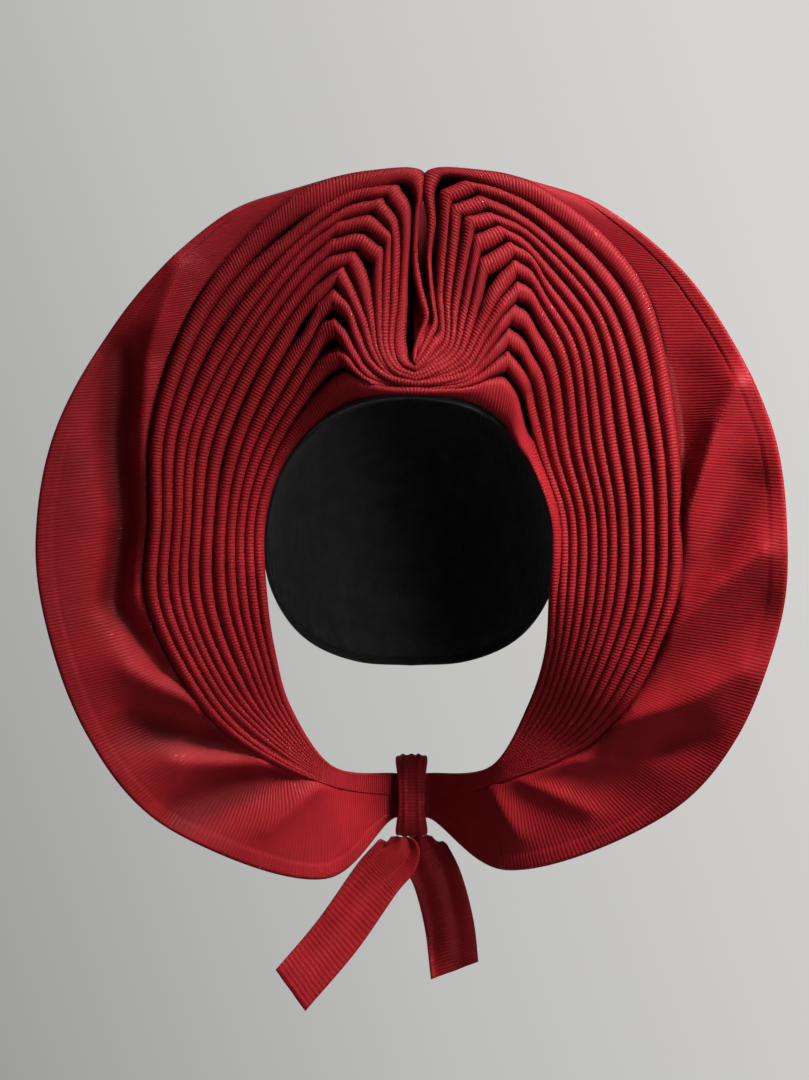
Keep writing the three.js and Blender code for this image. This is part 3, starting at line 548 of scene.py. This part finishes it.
def pleat_side(stations, pleats, side, creases, bends, tucks):
    """Front points of one side's pleats, rows from the nape to the dip, with how far along its
    pleat and how deep in a pocket each point lies, which also sets the shade painted on it."""
    names, at, normal, roll, inner, rests = side_rows(stations, side, {})
    ridges = [ridge_line(stations, pleats, j, names, at, creases, bends) for j in range(PLEATS)]
    hidden = [tucked(tucks, j, names, at)[:, None] for j in range(PLEATS)]
    edge = spline(range(len(names)), edge_points(stations), at)

    # The nearest pleats in sight on both sides of each pleat.
    before, after = [edge], [ridges[-1]]
    for j in range(1, PLEATS):
        before.append(mix(ridges[j - 1], before[-1], hidden[j - 1]))
    for j in range(PLEATS - 2, -1, -1):
        after.insert(0, mix(ridges[j + 1], after[0], hidden[j + 1]))

    columns = []
    angles = np.radians(ROLL_ANGLES)
    for j, ridge in enumerate(ridges):
        along = lengths(ridge)
        last = j == PLEATS - 1
        shown = 1 - hidden[j][:, 0]
        inward = np.maximum(np.linalg.norm(before[j] - ridge, axis=1), 1e-6)
        back = (before[j] - ridge) / inward[:, None]
        if last:
            outward, towards = roll * LAST_OUTWARD, -back
            in_half, out_half = np.minimum(LAST_INNER_SHARE * inward, inner), roll
        else:
            outward = np.maximum(np.linalg.norm(after[j] - ridge, axis=1), 1e-6)
            towards = (after[j] - ridge) / outward[:, None]
            in_half = np.minimum(ROLL_SHARE * inward, ROLL_WIDEST) * shown
            out_half = np.minimum(ROLL_SHARE * outward, ROLL_WIDEST) * shown
        if j == 0:
            in_half = FIRST_INNER_SHARE * inward
        sink = TUCK_SINK * np.minimum(POCKET_DEPTH, 0.5 * (inward + outward))
        sink = (1 - shown) * np.minimum(sink, free_depth(ridge, rests))
        for side_dir, half, full, chosen in (
            (back, in_half, inward, angles[angles < 0]),
            (towards, out_half, outward, angles[angles >= 0]),
        ):
            height = np.minimum(ROLL_HIGH * half, ROLL_TALLEST)
            floor = np.minimum(POCKET_DEPTH, POCKET_SLOPE * full)
            middle = ridge + side_dir * (0.5 * full)[:, None]
            floor = np.minimum(floor, free_depth(middle, rests))
            floor = np.maximum(floor, height * POCKET_LEAST)
            free = np.maximum(0.5 * full - half, FREE_LEAST * full)
            ring = []
            for angle in chosen:
                offset = abs(math.sin(angle)) * half
                ring.append((offset, (1 - math.cos(angle)) * height + sink))
            wall = half + FOOT_OUT * np.minimum(free, 1.0)
            foot = (wall * shown, np.maximum(mix(height, floor, FOOT_DOWN), sink))
            if chosen[0] < 0:
                if j:
                    ring.insert(0, foot)
            elif not last:
                ring.append(foot)
                nearer = 0.5 * np.linalg.norm(ridges[j + 1] - ridge, axis=1)
                ring.append((mix(nearer, 0.5 * full, shown), floor))
            for offset, depth in ring:
                points = ridge + side_dir * offset[:, None] - normal * depth[:, None]
                columns.append((points, along, depth))
    # The last roll turns down into the groove behind it.
    away, deep = groove_behind(ridge, ridges[-2], roll)
    for out, low in GROOVE_TURN:
        depth = mix(roll * ROLL_HIGH, deep, low)
        points = ridge + away * (out * roll)[:, None] - normal * depth[:, None]
        columns.append((points, along, depth))
    return [np.stack(part, axis=1) for part in zip(*columns)]


# Materials

def new_group(name, inputs, outputs):
    """A node group that takes a vector and some numbers, and gives numbers."""
    group = bpy.data.node_groups.new(name, "ShaderNodeTree")
    group.interface.new_socket("Vector", in_out="INPUT", socket_type="NodeSocketVector")
    for label in inputs:
        group.interface.new_socket(label, in_out="INPUT", socket_type="NodeSocketFloat")
    for label in outputs:
        group.interface.new_socket(label, in_out="OUTPUT", socket_type="NodeSocketFloat")
    return group, group.nodes.new("NodeGroupInput"), group.nodes.new("NodeGroupOutput")


def put(tree, node, values):
    """Puts a number, a colour or another node's output into each named input of a node."""
    for label, value in values.items():
        if isinstance(value, bpy.types.NodeSocket):
            tree.links.new(value, node.inputs[label])
        elif isinstance(value, tuple):
            node.inputs[label].default_value = (*value, 1)
        else:
            node.inputs[label].default_value = value
    return node


def new_node(tree, kind, values):
    return put(tree, tree.nodes.new(kind), values)


def math_node(tree, operation, *values):
    node = tree.nodes.new("ShaderNodeMath")
    node.operation = operation
    return put(tree, node, dict(enumerate(values))).outputs[0]


# How far a rib strays, in metres, how round its back is and how narrow the groove beside it is,
# and how much of its cell a speck of glitter fills.
RIB_STRAY, RIB_ROUND, GROOVE_NARROW = 0.00035, 0.7, 2.2
SPECK_REACH = 0.34


def make_rib_group():
    """Cross ribs: rounded threads at a pitch along X of the vector, in metres, and where shade is
    painted in the grooves between them.
    """
    group, entry, result = new_group("cross_ribs", ["Pitch"], ["Height", "Groove"])
    vector = entry.outputs["Vector"]
    split = new_node(group, "ShaderNodeSeparateXYZ", {0: vector})
    wobble = new_node(group, "ShaderNodeTexNoise", {"Scale": 260, "Detail": 1, "Vector": vector})
    uneven = math_node(group, "SUBTRACT", wobble.outputs["Fac"], 0.5)
    along = math_node(group, "MULTIPLY_ADD", uneven, RIB_STRAY, split.outputs["X"])
    place = math_node(group, "DIVIDE", along, entry.outputs["Pitch"])
    turn = math_node(group, "MULTIPLY", place, 2 * math.pi)
    wave = math_node(group, "MULTIPLY_ADD", math_node(group, "COSINE", turn), 0.5, 0.5)
    between = math_node(group, "SUBTRACT", 1.0, wave)
    put(group, result, {
        "Height": math_node(group, "POWER", wave, RIB_ROUND),
        "Groove": math_node(group, "POWER", between, GROOVE_NARROW),
    })
    return group


def make_glitter_group():
    """Fine specks of bright thread."""
    group, entry, result = new_group("glitter_thread", ["Scale", "Share"], ["Speck"])
    cells = new_node(group, "ShaderNodeTexVoronoi", {
        "Vector": entry.outputs["Vector"],
        "Scale": entry.outputs["Scale"],
    })
    split = new_node(group, "ShaderNodeSeparateColor", {0: cells.outputs["Color"]})
    chosen = math_node(group, "LESS_THAN", split.outputs[0], entry.outputs["Share"])
    near = math_node(group, "LESS_THAN", cells.outputs["Distance"], SPECK_REACH)
    put(group, result, {"Speck": math_node(group, "MULTIPLY", chosen, near)})
    return group


def make_mottle_group():
    """Broad mottling of a dyed cloth, from the object's own coordinates."""
    group, entry, result = new_group("dye_mottle", ["Scale"], ["Value"])
    noise = new_node(group, "ShaderNodeTexNoise", {
        "Detail": 4,
        "Roughness": 0.6,
        "Vector": entry.outputs["Vector"],
        "Scale": entry.outputs["Scale"],
    })
    put(group, result, {"Value": noise.outputs["Fac"]})
    return group


RIBS = make_rib_group()
GLITTER = make_glitter_group()
MOTTLE = make_mottle_group()


def place_group(tree, group, **values):
    node = tree.nodes.new("ShaderNodeGroup")
    node.node_tree = group
    return put(tree, node, values)


def uv_map(tree, name):
    node = tree.nodes.new("ShaderNodeUVMap")
    node.uv_map = name
    return node.outputs[0]


def colour_ramp(tree, factor, stops):
    ramp = new_node(tree, "ShaderNodeValToRGB", {"Fac": factor})
    while len(ramp.color_ramp.elements) < len(stops):
        ramp.color_ramp.elements.new(0.5)
    for element, (position, colour) in zip(ramp.color_ramp.elements, stops):
        element.position = position
        element.color = (*colour, 1)
    return ramp.outputs["Color"]


def mix_colour(tree, blend, factor, a, b):
    node = tree.nodes.new("ShaderNodeMix")
    node.data_type = "RGBA"
    node.blend_type = blend
    return put(tree, node, {"Factor": factor, 6: a, 7: b}).outputs[2]


def blank_material(name):
    material = bpy.data.materials.new(name)
    material.use_nodes = True
    tree = material.node_tree
    tree.nodes.clear()
    shader = tree.nodes.new("ShaderNodeBsdfPrincipled")
    output = tree.nodes.new("ShaderNodeOutputMaterial")
    tree.links.new(shader.outputs[0], output.inputs["Surface"])
    return material, tree, shader


# Below the first height the shade painted between the ribs is fainter, by this share of its full
# strength.
FAINT_RIBS_BELOW, FULL_RIBS_ABOVE, FAINT_RIBS = -70, 10, 0.4
# The colour of the shade painted between the ribs, and the colour of the glitter specks.
RIB_GROOVE_SHADE_COLOUR, GLINT_COLOUR = (0.07, 0.004, 0.008), (0.62, 0.16, 0.18)


def make_cloth_material(name, rib_groove_shade, relief):
    """The head tie's cloth, with shade painted in its pockets and between its ribs: how dark the shade
    between the ribs is, and their relief.
    """
    material, tree, shader = blank_material(name)
    spot = tree.nodes.new("ShaderNodeTexCoord").outputs["Object"]
    ribs = place_group(tree, RIBS, Vector=uv_map(tree, "weave"), Pitch=RIB_PITCH * MM)
    speck = place_group(tree, GLITTER, Vector=spot, Scale=3000.0, Share=0.03).outputs["Speck"]
    mottle = place_group(tree, MOTTLE, Vector=spot, Scale=38.0)
    dye = colour_ramp(tree, mottle.outputs["Value"], (
        (0.3, (0.25, 0.0085, 0.0125)),
        (0.55, (0.315, 0.0115, 0.0175)),
        (0.75, (0.37, 0.0145, 0.022)),
    ))
    height = new_node(tree, "ShaderNodeSeparateXYZ", {0: spot})
    strength = new_node(tree, "ShaderNodeMapRange", {
        "Value": height.outputs["Z"],
        "From Min": FAINT_RIBS_BELOW * MM,
        "From Max": FULL_RIBS_ABOVE * MM,
        "To Min": FAINT_RIBS * rib_groove_shade,
        "To Max": rib_groove_shade,
    })
    # Painted shade in the grooves between the ribs.
    shade = math_node(tree, "MULTIPLY", ribs.outputs["Groove"], strength.outputs["Result"])
    ribbed = mix_colour(tree, "MIX", shade, dye, RIB_GROOVE_SHADE_COLOUR)
    # Painted shade: the deeper a point lies in a pocket, the darker its colour is made.
    deep = new_node(tree, "ShaderNodeSeparateXYZ", {0: uv_map(tree, "painted_shade")})
    pocket = colour_ramp(tree, deep.outputs["X"], (
        (0.0, (1.0, 1.0, 1.0)),
        (0.1, (0.95, 0.94, 0.94)),
        (0.3, (0.5, 0.46, 0.48)),
        (0.6, (0.2, 0.16, 0.18)),
        (1.0, (0.09, 0.06, 0.07)),
    ))
    colour_with_painted_shade = mix_colour(tree, "MULTIPLY", 1.0, ribbed, pocket)
    glint = math_node(tree, "MULTIPLY", speck, 0.6)
    bump = new_node(tree, "ShaderNodeBump", {
        "Strength": relief,
        "Distance": 0.0005,
        "Height": ribs.outputs["Height"],
    })
    put(tree, shader, {
        "Base Color": mix_colour(tree, "MIX", glint, colour_with_painted_shade, GLINT_COLOUR),
        "Roughness": math_node(tree, "MULTIPLY_ADD", speck, -0.3, 0.55),
        "Metallic": glint,
        "Specular IOR Level": 0.12,
        "Sheen Weight": 0.03,
        "Sheen Roughness": 0.35,
        "Sheen Tint": (1.0, 0.25, 0.32),
        "Normal": bump.outputs[0],
    })
    return material


def make_knit_material(name, colour, scale):
    material, tree, shader = blank_material(name)
    spot = tree.nodes.new("ShaderNodeTexCoord").outputs["Object"]
    wave = new_node(tree, "ShaderNodeTexWave", {"Scale": scale, "Distortion": 1.5, "Vector": spot})
    mottle = place_group(tree, MOTTLE, Vector=spot, Scale=120.0)
    bump = new_node(tree, "ShaderNodeBump", {
        "Strength": 0.5,
        "Distance": 0.0003,
        "Height": wave.outputs["Fac"],
    })
    put(tree, shader, {
        "Base Color": colour_ramp(tree, mottle.outputs["Value"], (
            (0.35, tuple(0.6 * c for c in colour)),
            (0.7, tuple(1.6 * c for c in colour)),
        )),
        "Roughness": 0.85,
        "Sheen Weight": 0.1,
        "Normal": bump.outputs[0],
    })
    return material


def make_floor_material(name, colour, brightness):
    """A plain floor that looks pale from every side, and lights nothing itself."""
    material, tree, shader = blank_material(name)
    path = tree.nodes.new("ShaderNodeLightPath")
    put(tree, shader, {
        "Base Color": colour,
        "Roughness": 0.8,
        "Emission Color": colour,
        "Emission Strength": math_node(tree, "MULTIPLY", path.outputs["Is Camera Ray"], brightness),
    })
    return material


# Pieces

def mesh_object(name, bm, material):
    mesh = bpy.data.meshes.new(name)
    bm.to_mesh(mesh)
    bm.free()
    for polygon in mesh.polygons:
        polygon.use_smooth = True
    mesh.materials.append(material)
    piece = bpy.data.objects.new(name, mesh)
    bpy.context.scene.collection.objects.link(piece)
    return piece


def grid_object(name, points, material, weave, shade_depths=None, closed=False):
    """A sheet made from a flat grid, each vertex moved to its point, rows by columns. Weave gives the
    way along and across the cloth, shade depths how deep in a pocket each point lies, for painted
    shade."""
    rows, columns = points.shape[:2]
    bm = bmesh.new()
    bmesh.ops.create_grid(bm, x_segments=columns - 1, y_segments=rows - 1, size=1)
    bm.verts.ensure_lookup_table()
    flat = points.reshape(-1, 3) * MM
    for vertex, place in zip(bm.verts, flat):
        vertex.co = place
    layer = bm.loops.layers.uv.new("weave")
    painted_shade = bm.loops.layers.uv.new("painted_shade")
    for face in bm.faces:
        for loop in face.loops:
            loop[layer].uv = weave(loop.vert.index, face)
            # The depth in a pocket goes to a map by which the cloth's colour is darkened as painted
            # shade.
            if shade_depths is not None:
                row, column = divmod(loop.vert.index, columns)
                loop[painted_shade].uv = min(1.0, shade_depths[row, column] / POCKET_SHADE_DARKEST), 0
    if closed:
        bmesh.ops.remove_doubles(bm, verts=bm.verts, dist=1e-6)
        bmesh.ops.recalc_face_normals(bm, faces=bm.faces)
    return mesh_object(name, bm, material)


def even_weave(columns, row_pitch, column_pitch):
    """A map for grids with even steps, along the rows and across the columns, in millimetres."""
    def weave(index, _):
        row, column = divmod(index, columns)
        return row * row_pitch * MM, column * column_pitch * MM
    return weave


def thicken(piece, wall):
    layer = piece.modifiers.new("wall", "SOLIDIFY")
    layer.thickness = wall * MM
    layer.offset = -1


LEFT = (LEFT_STATIONS, LEFT_PLEATS, -1, LEFT_CREASES, LEFT_BENDS)
RIGHT = (RIGHT_STATIONS, RIGHT_PLEATS, 1, RIGHT_CREASES, RIGHT_BENDS)


def joined(left, right):
    """Rows from the nape over the left side to the dip, and back over the right side."""
    return np.concatenate([left, right[::-1][1:]])


def make_pleats(material):
    left, left_along, left_shade_depth = pleat_side(*LEFT, LEFT_TUCKS)
    right, right_along, right_shade_depth = pleat_side(*RIGHT, RIGHT_TUCKS)
    points = joined(left, right)
    along = joined(left_along, left_along[-1:] + (right_along[-1:] - right_along))
    shade_depths = joined(left_shade_depth, right_shade_depth)
    rows, columns = points.shape[:2]
    steps = np.linalg.norm(np.diff(points, axis=1), axis=2)
    across = np.concatenate([np.zeros((rows, 1)), np.cumsum(steps, axis=1)], axis=1)

    # A face between two columns takes its ribs from the pleat of the column nearer the flare.
    def weave(index, face):
        row, column = divmod(index, columns)
        owner = max(v.index % columns for v in face.verts)
        return along[row, owner] * MM, across[row, column] * MM

    piece = grid_object("gele_pleats", points, material, weave, shade_depths)
    thicken(piece, CLOTH_WALL)
    return piece


def make_flare(material):
    left, left_along, left_shade_depth = flare_side(*LEFT)
    right, right_along, right_shade_depth = flare_side(*RIGHT)
    points = joined(left, right)
    along = joined(left_along, left_along[-1] + right_along[-1] - right_along)
    shade_depths = joined(left_shade_depth, right_shade_depth)
    columns = points.shape[1]

    def weave(index, _):
        row, column = divmod(index, columns)
        return along[row] * MM, column * FLARE_PITCH * MM

    piece = grid_object("gele_flare", points, material, weave, shade_depths)
    thicken(piece, CLOTH_WALL)
    return piece


def band_height(turn):
    """Height of the band's lower edge at a turn from the front, in radians."""
    turns, heights = zip(*BAND_LINE)
    fine = np.linspace(0, len(turns) - 1, 200)
    curve = spline(range(len(turns)), np.array([turns, heights]).T, fine)
    degrees = abs(math.degrees(math.atan2(math.sin(turn), math.cos(turn))))
    return float(np.interp(degrees, curve[:, 0], curve[:, 1]))


def on_head(turn, angle, margin):
    """A point on the head room grown by a margin, by its turn from the front and its angle down
    from the crown."""
    reach = math.sin(angle) / math.hypot(
        math.sin(turn) / (HEAD_WIDE + margin), math.cos(turn) / (HEAD_DEEP + margin))
    z = (HEAD_HIGH + margin) * math.cos(angle) - HEAD_HIGH
    return math.sin(turn) * reach, -math.cos(turn) * reach, z


def band_angle(turn):
    return math.acos((band_height(turn) + HEAD_HIGH) / HEAD_HIGH)


def make_cap(material):
    """The stretch cap's dome, with small gathers where it is sewn to the band."""
    points = np.zeros((CAP_RINGS + 1, CAP_TURNS + 1, 3))
    for i in range(CAP_TURNS + 1):
        turn = 2 * math.pi * (i % CAP_TURNS) / CAP_TURNS
        start = band_angle(turn) - (BAND_WIDTH + CAP_GAP) / HEAD_HIGH
        for ring in range(CAP_RINGS + 1):
            angle = start * (1 - ring / CAP_RINGS) ** CAP_CROWDING
            gather = GATHER_HIGH * math.exp(-HEAD_HIGH * (start - angle) / GATHER_LONG)
            lift = gather * math.cos(CAP_GATHERS * turn)
            points[ring, i] = on_head(turn, angle, CAP_FIT + CAP_SHOWN + lift)
    weave = even_weave(CAP_TURNS + 1, row_pitch=3, column_pitch=3)
    piece = grid_object("cap_dome", points, material, weave, closed=True)
    thicken(piece, CAP_SHOWN)
    return piece


def make_band(material):
    """The elastic round the cap's lower edge, ribbed along its length."""
    columns = len(BAND_SECTION) + 1
    points = np.zeros((CAP_TURNS + 1, columns, 3))
    for i in range(CAP_TURNS + 1):
        turn = 2 * math.pi * (i % CAP_TURNS) / CAP_TURNS
        low = band_angle(turn)
        for k in range(columns):
            out, up = BAND_SECTION[k % len(BAND_SECTION)]
            points[i, k] = on_head(turn, low - up / HEAD_HIGH, CAP_FIT + out)
    weave = even_weave(columns, row_pitch=3, column_pitch=0.6)
    return grid_object("elastic_band", points, material, weave, closed=True)


def squared(value, power):
    """Value raised to a power below 1, which keeps its sign."""
    return math.copysign(abs(value) ** power, value)


def make_knot(material):
    """The wrapped strap round the gathered ends, folded along its length."""
    points = np.zeros((KNOT_TURNS + 1, KNOT_COLUMNS + 1, 3))
    for i in range(KNOT_TURNS + 1):
        turn = 2 * math.pi * (i % KNOT_TURNS) / KNOT_TURNS
        pinch = 1 - KNOT_PINCH * math.cos(2 * turn)
        for k in range(KNOT_COLUMNS + 1):
            way = 2 * math.pi * (k % KNOT_COLUMNS) / KNOT_COLUMNS
            across = squared(math.cos(way), KNOT_SQUARE_ACROSS)
            rise = 0.5 + 0.5 * squared(math.sin(way), KNOT_SQUARE_OUT)
            if rise > 0.5:
                phase = KNOT_FOLDS * math.pi * (across + 1) + KNOT_FOLD_SWAY * math.sin(turn)
                fold = 0.5 - 0.5 * math.cos(phase)
                rise -= KNOT_FOLD_DEPTH * fold ** KNOT_FOLD_ROUND * (1 - abs(across) ** 4)
            high = mix(KNOT["hole_high"], KNOT["high"], rise)
            deep = mix(KNOT["hole_deep"], KNOT["deep"], rise)
            x = 0.5 * KNOT["wide"] * across * pinch
            points[i, k] = x, KNOT["y"] + deep * math.cos(turn), KNOT["z"] + high * math.sin(turn)
    weave = even_weave(KNOT_COLUMNS + 1, row_pitch=1.2, column_pitch=1.2)
    return grid_object("knot_wrap", points, material, weave, closed=True)


def make_tie(name, material):
    """A strap of the cloth with turned edges, folded along its length, its end cut aslant."""
    slant, stops = TIES[name]
    at = np.linspace(0, len(stops) - 1, TIE_ROWS)
    middle = spline(range(len(stops)), stops, at)
    along = unit(np.gradient(middle, axis=0))
    normal = unit(np.cross(along, (1, 0, 0)))
    across = np.cross(normal, along)
    share = np.linspace(0, 1, TIE_ROWS)
    width = TIE_WIDTH * np.interp(share, (0, TIE_FULL_AT), (TIE_GATHER, 1))
    columns = []
    for v in np.linspace(-0.5, 0.5, TIE_COLUMNS):
        crease = TIE_CREASE * np.cos(2 * math.pi * (2 * v + TIE_CREASE_DRIFT * share))
        crease *= 1 - TIE_CREASE_FADE * share
        ripple = TIE_RIPPLE * np.sin(TIE_RIPPLES_ALONG * share + TIE_RIPPLES_ACROSS * v) * share
        hem = TIE_HEM if abs(v) > TIE_HEM_AT else 0
        points = middle + across * (v * width)[:, None] + along * (slant * v * share)[:, None]
        columns.append(points + normal * (crease + ripple + hem)[:, None])
    points = np.stack(columns, axis=1)
    weave = even_weave(TIE_COLUMNS, row_pitch=1.3, column_pitch=1.0)
    piece = grid_object(name + "_strap", points, material, weave)
    thicken(piece, TIE_SHOWN)
    return piece


# The flare's cloth gets fainter painted shade between its ribs, and lower relief.
CLOTH = make_cloth_material("ribbed_cloth", rib_groove_shade=0.66, relief=0.42)
FLARE_CLOTH = make_cloth_material("ribbed_cloth_flat", rib_groove_shade=0.4, relief=0.3)
KNIT = make_knit_material("stretch_cap", colour=(0.018, 0.018, 0.021), scale=300)
ELASTIC = make_knit_material("band_elastic", colour=(0.007, 0.007, 0.009), scale=700)

pleats = make_pleats(CLOTH)
flare = make_flare(FLARE_CLOTH)
cap = make_cap(KNIT)
band = make_band(ELASTIC)
knot = make_knot(CLOTH)
left_tie, right_tie = (make_tie(name, FLARE_CLOTH) for name in TIES)
for piece, node, finish in (
    (pleats, "gele_cloth", "ribbed_cloth"),
    (flare, "gele_cloth", "ribbed_cloth"),
    (cap, "inner_cap", "stretch_cap"),
    (band, "cap_band", "band_elastic"),
    (knot, "nape_knot", "ribbed_cloth"),
    (left_tie, "tie_left", "ribbed_cloth"),
    (right_tie, "tie_right", "ribbed_cloth"),
):
    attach(piece, "root")
    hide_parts(node)


# Floor, light and camera

# In metres: how far the camera is from the plane of the pleats, that plane's Y, and the height and
# the centre of what it shows there.
CAMERA_AWAY = 1.6
PLEAT_PLANE = -0.047
VIEW_HEIGHT = 0.5184
VIEW_CENTRE = (-0.0036, -0.0878)
SENSOR = 36.0
FLOOR_RADIUS, FLOOR_HEIGHT = 1.8, -0.8
FLOOR_COLOUR, FLOOR_BRIGHT = (0.62, 0.61, 0.59), 0.7
# How fast the backdrop turns paler to the right and upwards, which is painted light, and how pale its
# middle is.
BACKDROP_ACROSS, BACKDROP_UP, BACKDROP_MIDDLE = 2.6, 0.9, 0.62


def make_stage():
    bm = bmesh.new()
    bmesh.ops.create_circle(bm, cap_ends=True, segments=64, radius=FLOOR_RADIUS)
    bmesh.ops.translate(bm, verts=bm.verts, vec=(0, 0, FLOOR_HEIGHT))
    material = make_floor_material("pale_floor", FLOOR_COLOUR, FLOOR_BRIGHT)
    floor = mesh_object("pale_floor", bm, material)


def add_light(name, place, target, size, power, colour, spread=180):
    """A round lamp at a place, turned to a target, with its size in metres, its power in watts and
    the spread of its light in degrees."""
    data = bpy.data.lights.new(name, "AREA")
    data.shape = "DISK"
    data.size = size
    data.energy = power
    data.color = colour
    data.spread = math.radians(spread)
    lamp = bpy.data.objects.new(name, data)
    bpy.context.scene.collection.objects.link(lamp)
    lamp.location = place
    lamp.rotation_euler = (Vector(target) - Vector(place)).to_track_quat("-Z", "Y").to_euler()


def make_world():
    world = bpy.data.worlds.new("pale_room")
    bpy.context.scene.world = world
    world.use_nodes = True
    tree = world.node_tree
    tree.nodes.clear()
    # The camera sees a backdrop with light painted on it, paler to the right and upwards; other rays
    # get a faint even light.
    way = tree.nodes.new("ShaderNodeTexCoord")
    split = new_node(tree, "ShaderNodeSeparateXYZ", {0: way.outputs["Generated"]})
    painted_backdrop_light = math_node(tree, "MULTIPLY_ADD", split.outputs["X"], BACKDROP_ACROSS, BACKDROP_MIDDLE)
    painted_backdrop_light = math_node(tree, "MULTIPLY_ADD", split.outputs["Z"], BACKDROP_UP, painted_backdrop_light)
    backdrop = colour_ramp(tree, painted_backdrop_light, (
        (0.0, (0.26, 0.26, 0.26)),
        (0.5, (0.50, 0.50, 0.49)),
        (1.0, (0.68, 0.665, 0.64)),
    ))
    seen = new_node(tree, "ShaderNodeBackground", {"Color": backdrop})
    felt = new_node(tree, "ShaderNodeBackground", {"Color": (0.9, 0.92, 1.0), "Strength": 0.07})
    path = tree.nodes.new("ShaderNodeLightPath")
    choose = new_node(tree, "ShaderNodeMixShader", {
        0: path.outputs["Is Camera Ray"],
        1: felt.outputs[0],
        2: seen.outputs[0],
    })
    new_node(tree, "ShaderNodeOutputWorld", {"Surface": choose.outputs[0]})


def make_camera():
    data = bpy.data.cameras.new("front")
    data.sensor_width = SENSOR
    data.lens = SENSOR * CAMERA_AWAY / VIEW_HEIGHT
    camera = bpy.data.objects.new("front", data)
    bpy.context.scene.collection.objects.link(camera)
    camera.location = (VIEW_CENTRE[0], PLEAT_PLANE - CAMERA_AWAY, VIEW_CENTRE[1])
    camera.rotation_euler = (math.radians(90), 0, 0)
    bpy.context.scene.camera = camera


make_stage()
make_world()
make_camera()
MIDDLE = (0, -0.04, -0.08)
add_light("key", (0.78, -0.66, 0.86), (0.21, -0.04, 0.03), 0.24, 1.5, (1.0, 0.96, 0.92), 32)
add_light("top", (0.3, -0.2, 1.1), (0.1, -0.04, 0), 0.4, 1.9, (1.0, 0.95, 0.97), 110)
add_light("back", (-0.8, 1.5, 0.5), MIDDLE, 1.0, 4.5, (1.0, 0.97, 0.95))
add_light("fill", (1.0, -1.3, -0.1), (0.13, -0.04, -0.1), 0.8, 0.4, (1.0, 0.97, 0.95), 30)
bpy.context.scene.view_settings.view_transform = "Standard"
